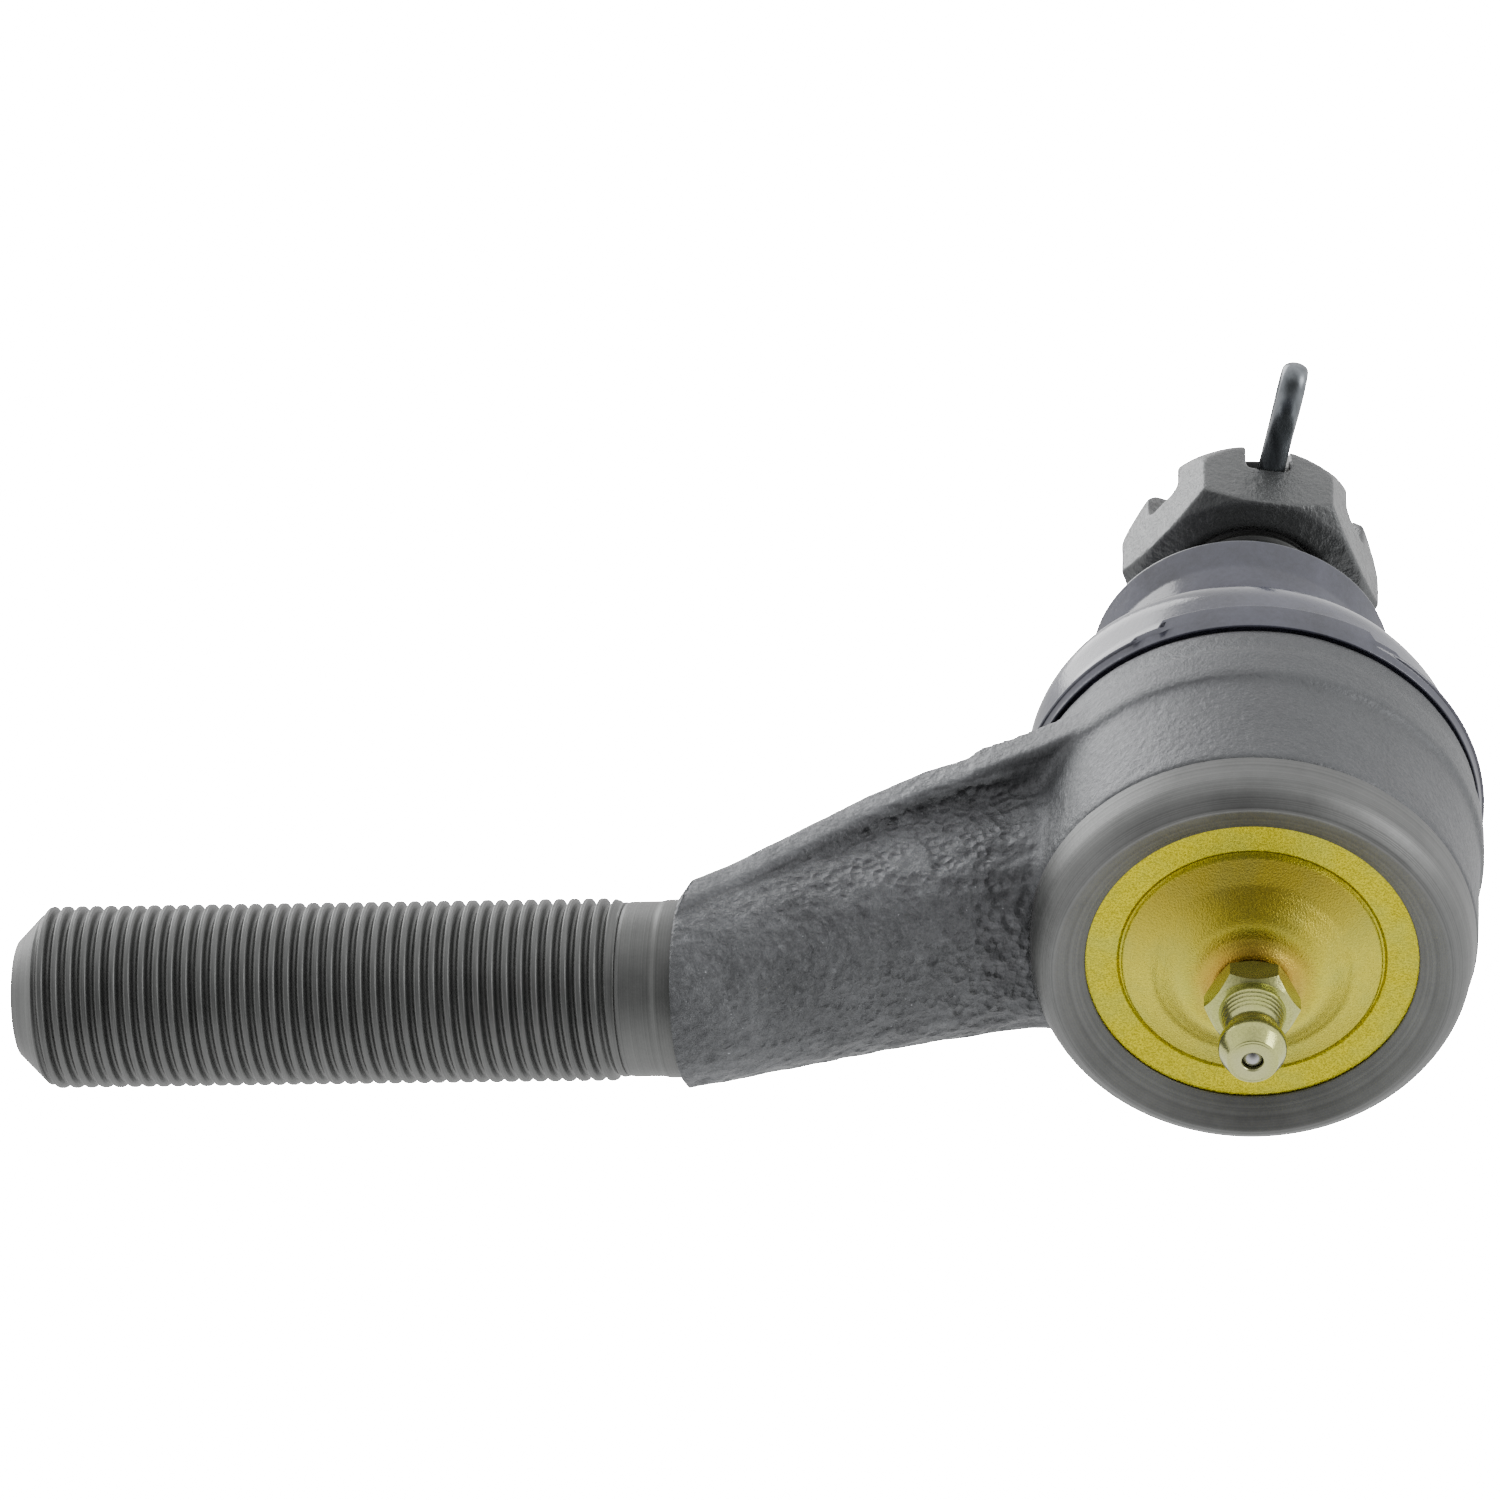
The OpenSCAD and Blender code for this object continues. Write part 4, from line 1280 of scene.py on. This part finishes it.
class TIEROD_OT_nut(bpy.types.Operator):
    """Model the castle nut"""

    bl_idname = "tie_rod.nut"
    bl_label = "Castle nut"
    bl_options = {"REGISTER", "UNDO"}

    def execute(self, context):
        steel = forged_finish("nut_steel", sizes(context, "finish").nut, 0.42)
        finished(make_nut(context), steel, "stud", "castle_nut")
        return {"FINISHED"}


class TIEROD_OT_split_pin(bpy.types.Operator):
    """Model the split pin"""

    bl_idname = "tie_rod.split_pin"
    bl_label = "Split pin"
    bl_options = {"REGISTER", "UNDO"}

    def execute(self, context):
        wire = wire_finish("pin_wire", sizes(context, "finish").wire)
        finished(make_split_pin(context), wire, "split_pin", "split_pin")
        return {"FINISHED"}


class TIEROD_OT_inside(bpy.types.Operator):
    """Give the bearings, springs, rings and gasket inside their finishes"""

    bl_idname = "tie_rod.inside"
    bl_label = "Inner pieces"
    bl_options = {"REGISTER", "UNDO"}

    def execute(self, context):
        colours = sizes(context, "finish")
        bearing = bearing_finish("ground_bearing_steel", colours.bearing)
        spring = wire_finish("spring_wire", colours.spring)
        nylon = moulded_finish("black_nylon", colours.nylon)
        gasket = moulded_finish("gasket_fibre", colours.gasket)
        plain = {
            "pressure_seat": bearing, "upper_bearing": bearing, "half_ball_bearing": bearing,
            "preload_spring": spring, "check_spring": spring, "boot_lip_ring": spring,
            "boot_collar_ring": nylon, "cover_gasket": gasket,
        }
        for node, material in plain.items():
            mesh = frame["nodes"][node].data
            mesh.materials.clear()
            mesh.materials.append(material)
        return {"FINISHED"}


OPERATORS = (
    TIEROD_OT_stage, TIEROD_OT_forging, TIEROD_OT_cover, TIEROD_OT_boot,
    TIEROD_OT_stud, TIEROD_OT_nut, TIEROD_OT_split_pin, TIEROD_OT_inside)


class TIEROD_PT_panel(bpy.types.Panel):
    """Lists the steps and their sizes."""

    bl_label = "Tie Rod End"
    bl_space_type = "VIEW_3D"
    bl_region_type = "UI"
    bl_category = "Tie Rod End"

    def draw(self, context):
        for operator in OPERATORS:
            self.layout.operator(operator.bl_idname)
        for group, settings in GROUPS.items():
            box = self.layout.box()
            for name in settings.__annotations__:
                box.prop(sizes(context, group), name)


def register():
    """Adds the settings, operators and panel."""
    for group, settings in GROUPS.items():
        bpy.utils.register_class(settings)
        setattr(bpy.types.Scene, "tie_rod_" + group, bpy.props.PointerProperty(type=settings))
    for cls in (*OPERATORS, TIEROD_PT_panel):
        bpy.utils.register_class(cls)


def unregister():
    """Removes the panel, operators and settings."""
    for cls in (TIEROD_PT_panel, *reversed(OPERATORS)):
        bpy.utils.unregister_class(cls)
    for group, settings in GROUPS.items():
        delattr(bpy.types.Scene, "tie_rod_" + group)
        bpy.utils.unregister_class(settings)


def main():
    """Makes everything."""
    register()
    bpy.ops.tie_rod.stage()
    bpy.ops.tie_rod.forging()
    bpy.ops.tie_rod.cover()
    bpy.ops.tie_rod.boot()
    bpy.ops.tie_rod.stud()
    bpy.ops.tie_rod.nut()
    bpy.ops.tie_rod.split_pin()
    bpy.ops.tie_rod.inside()


if __name__ == "__main__":
    main()
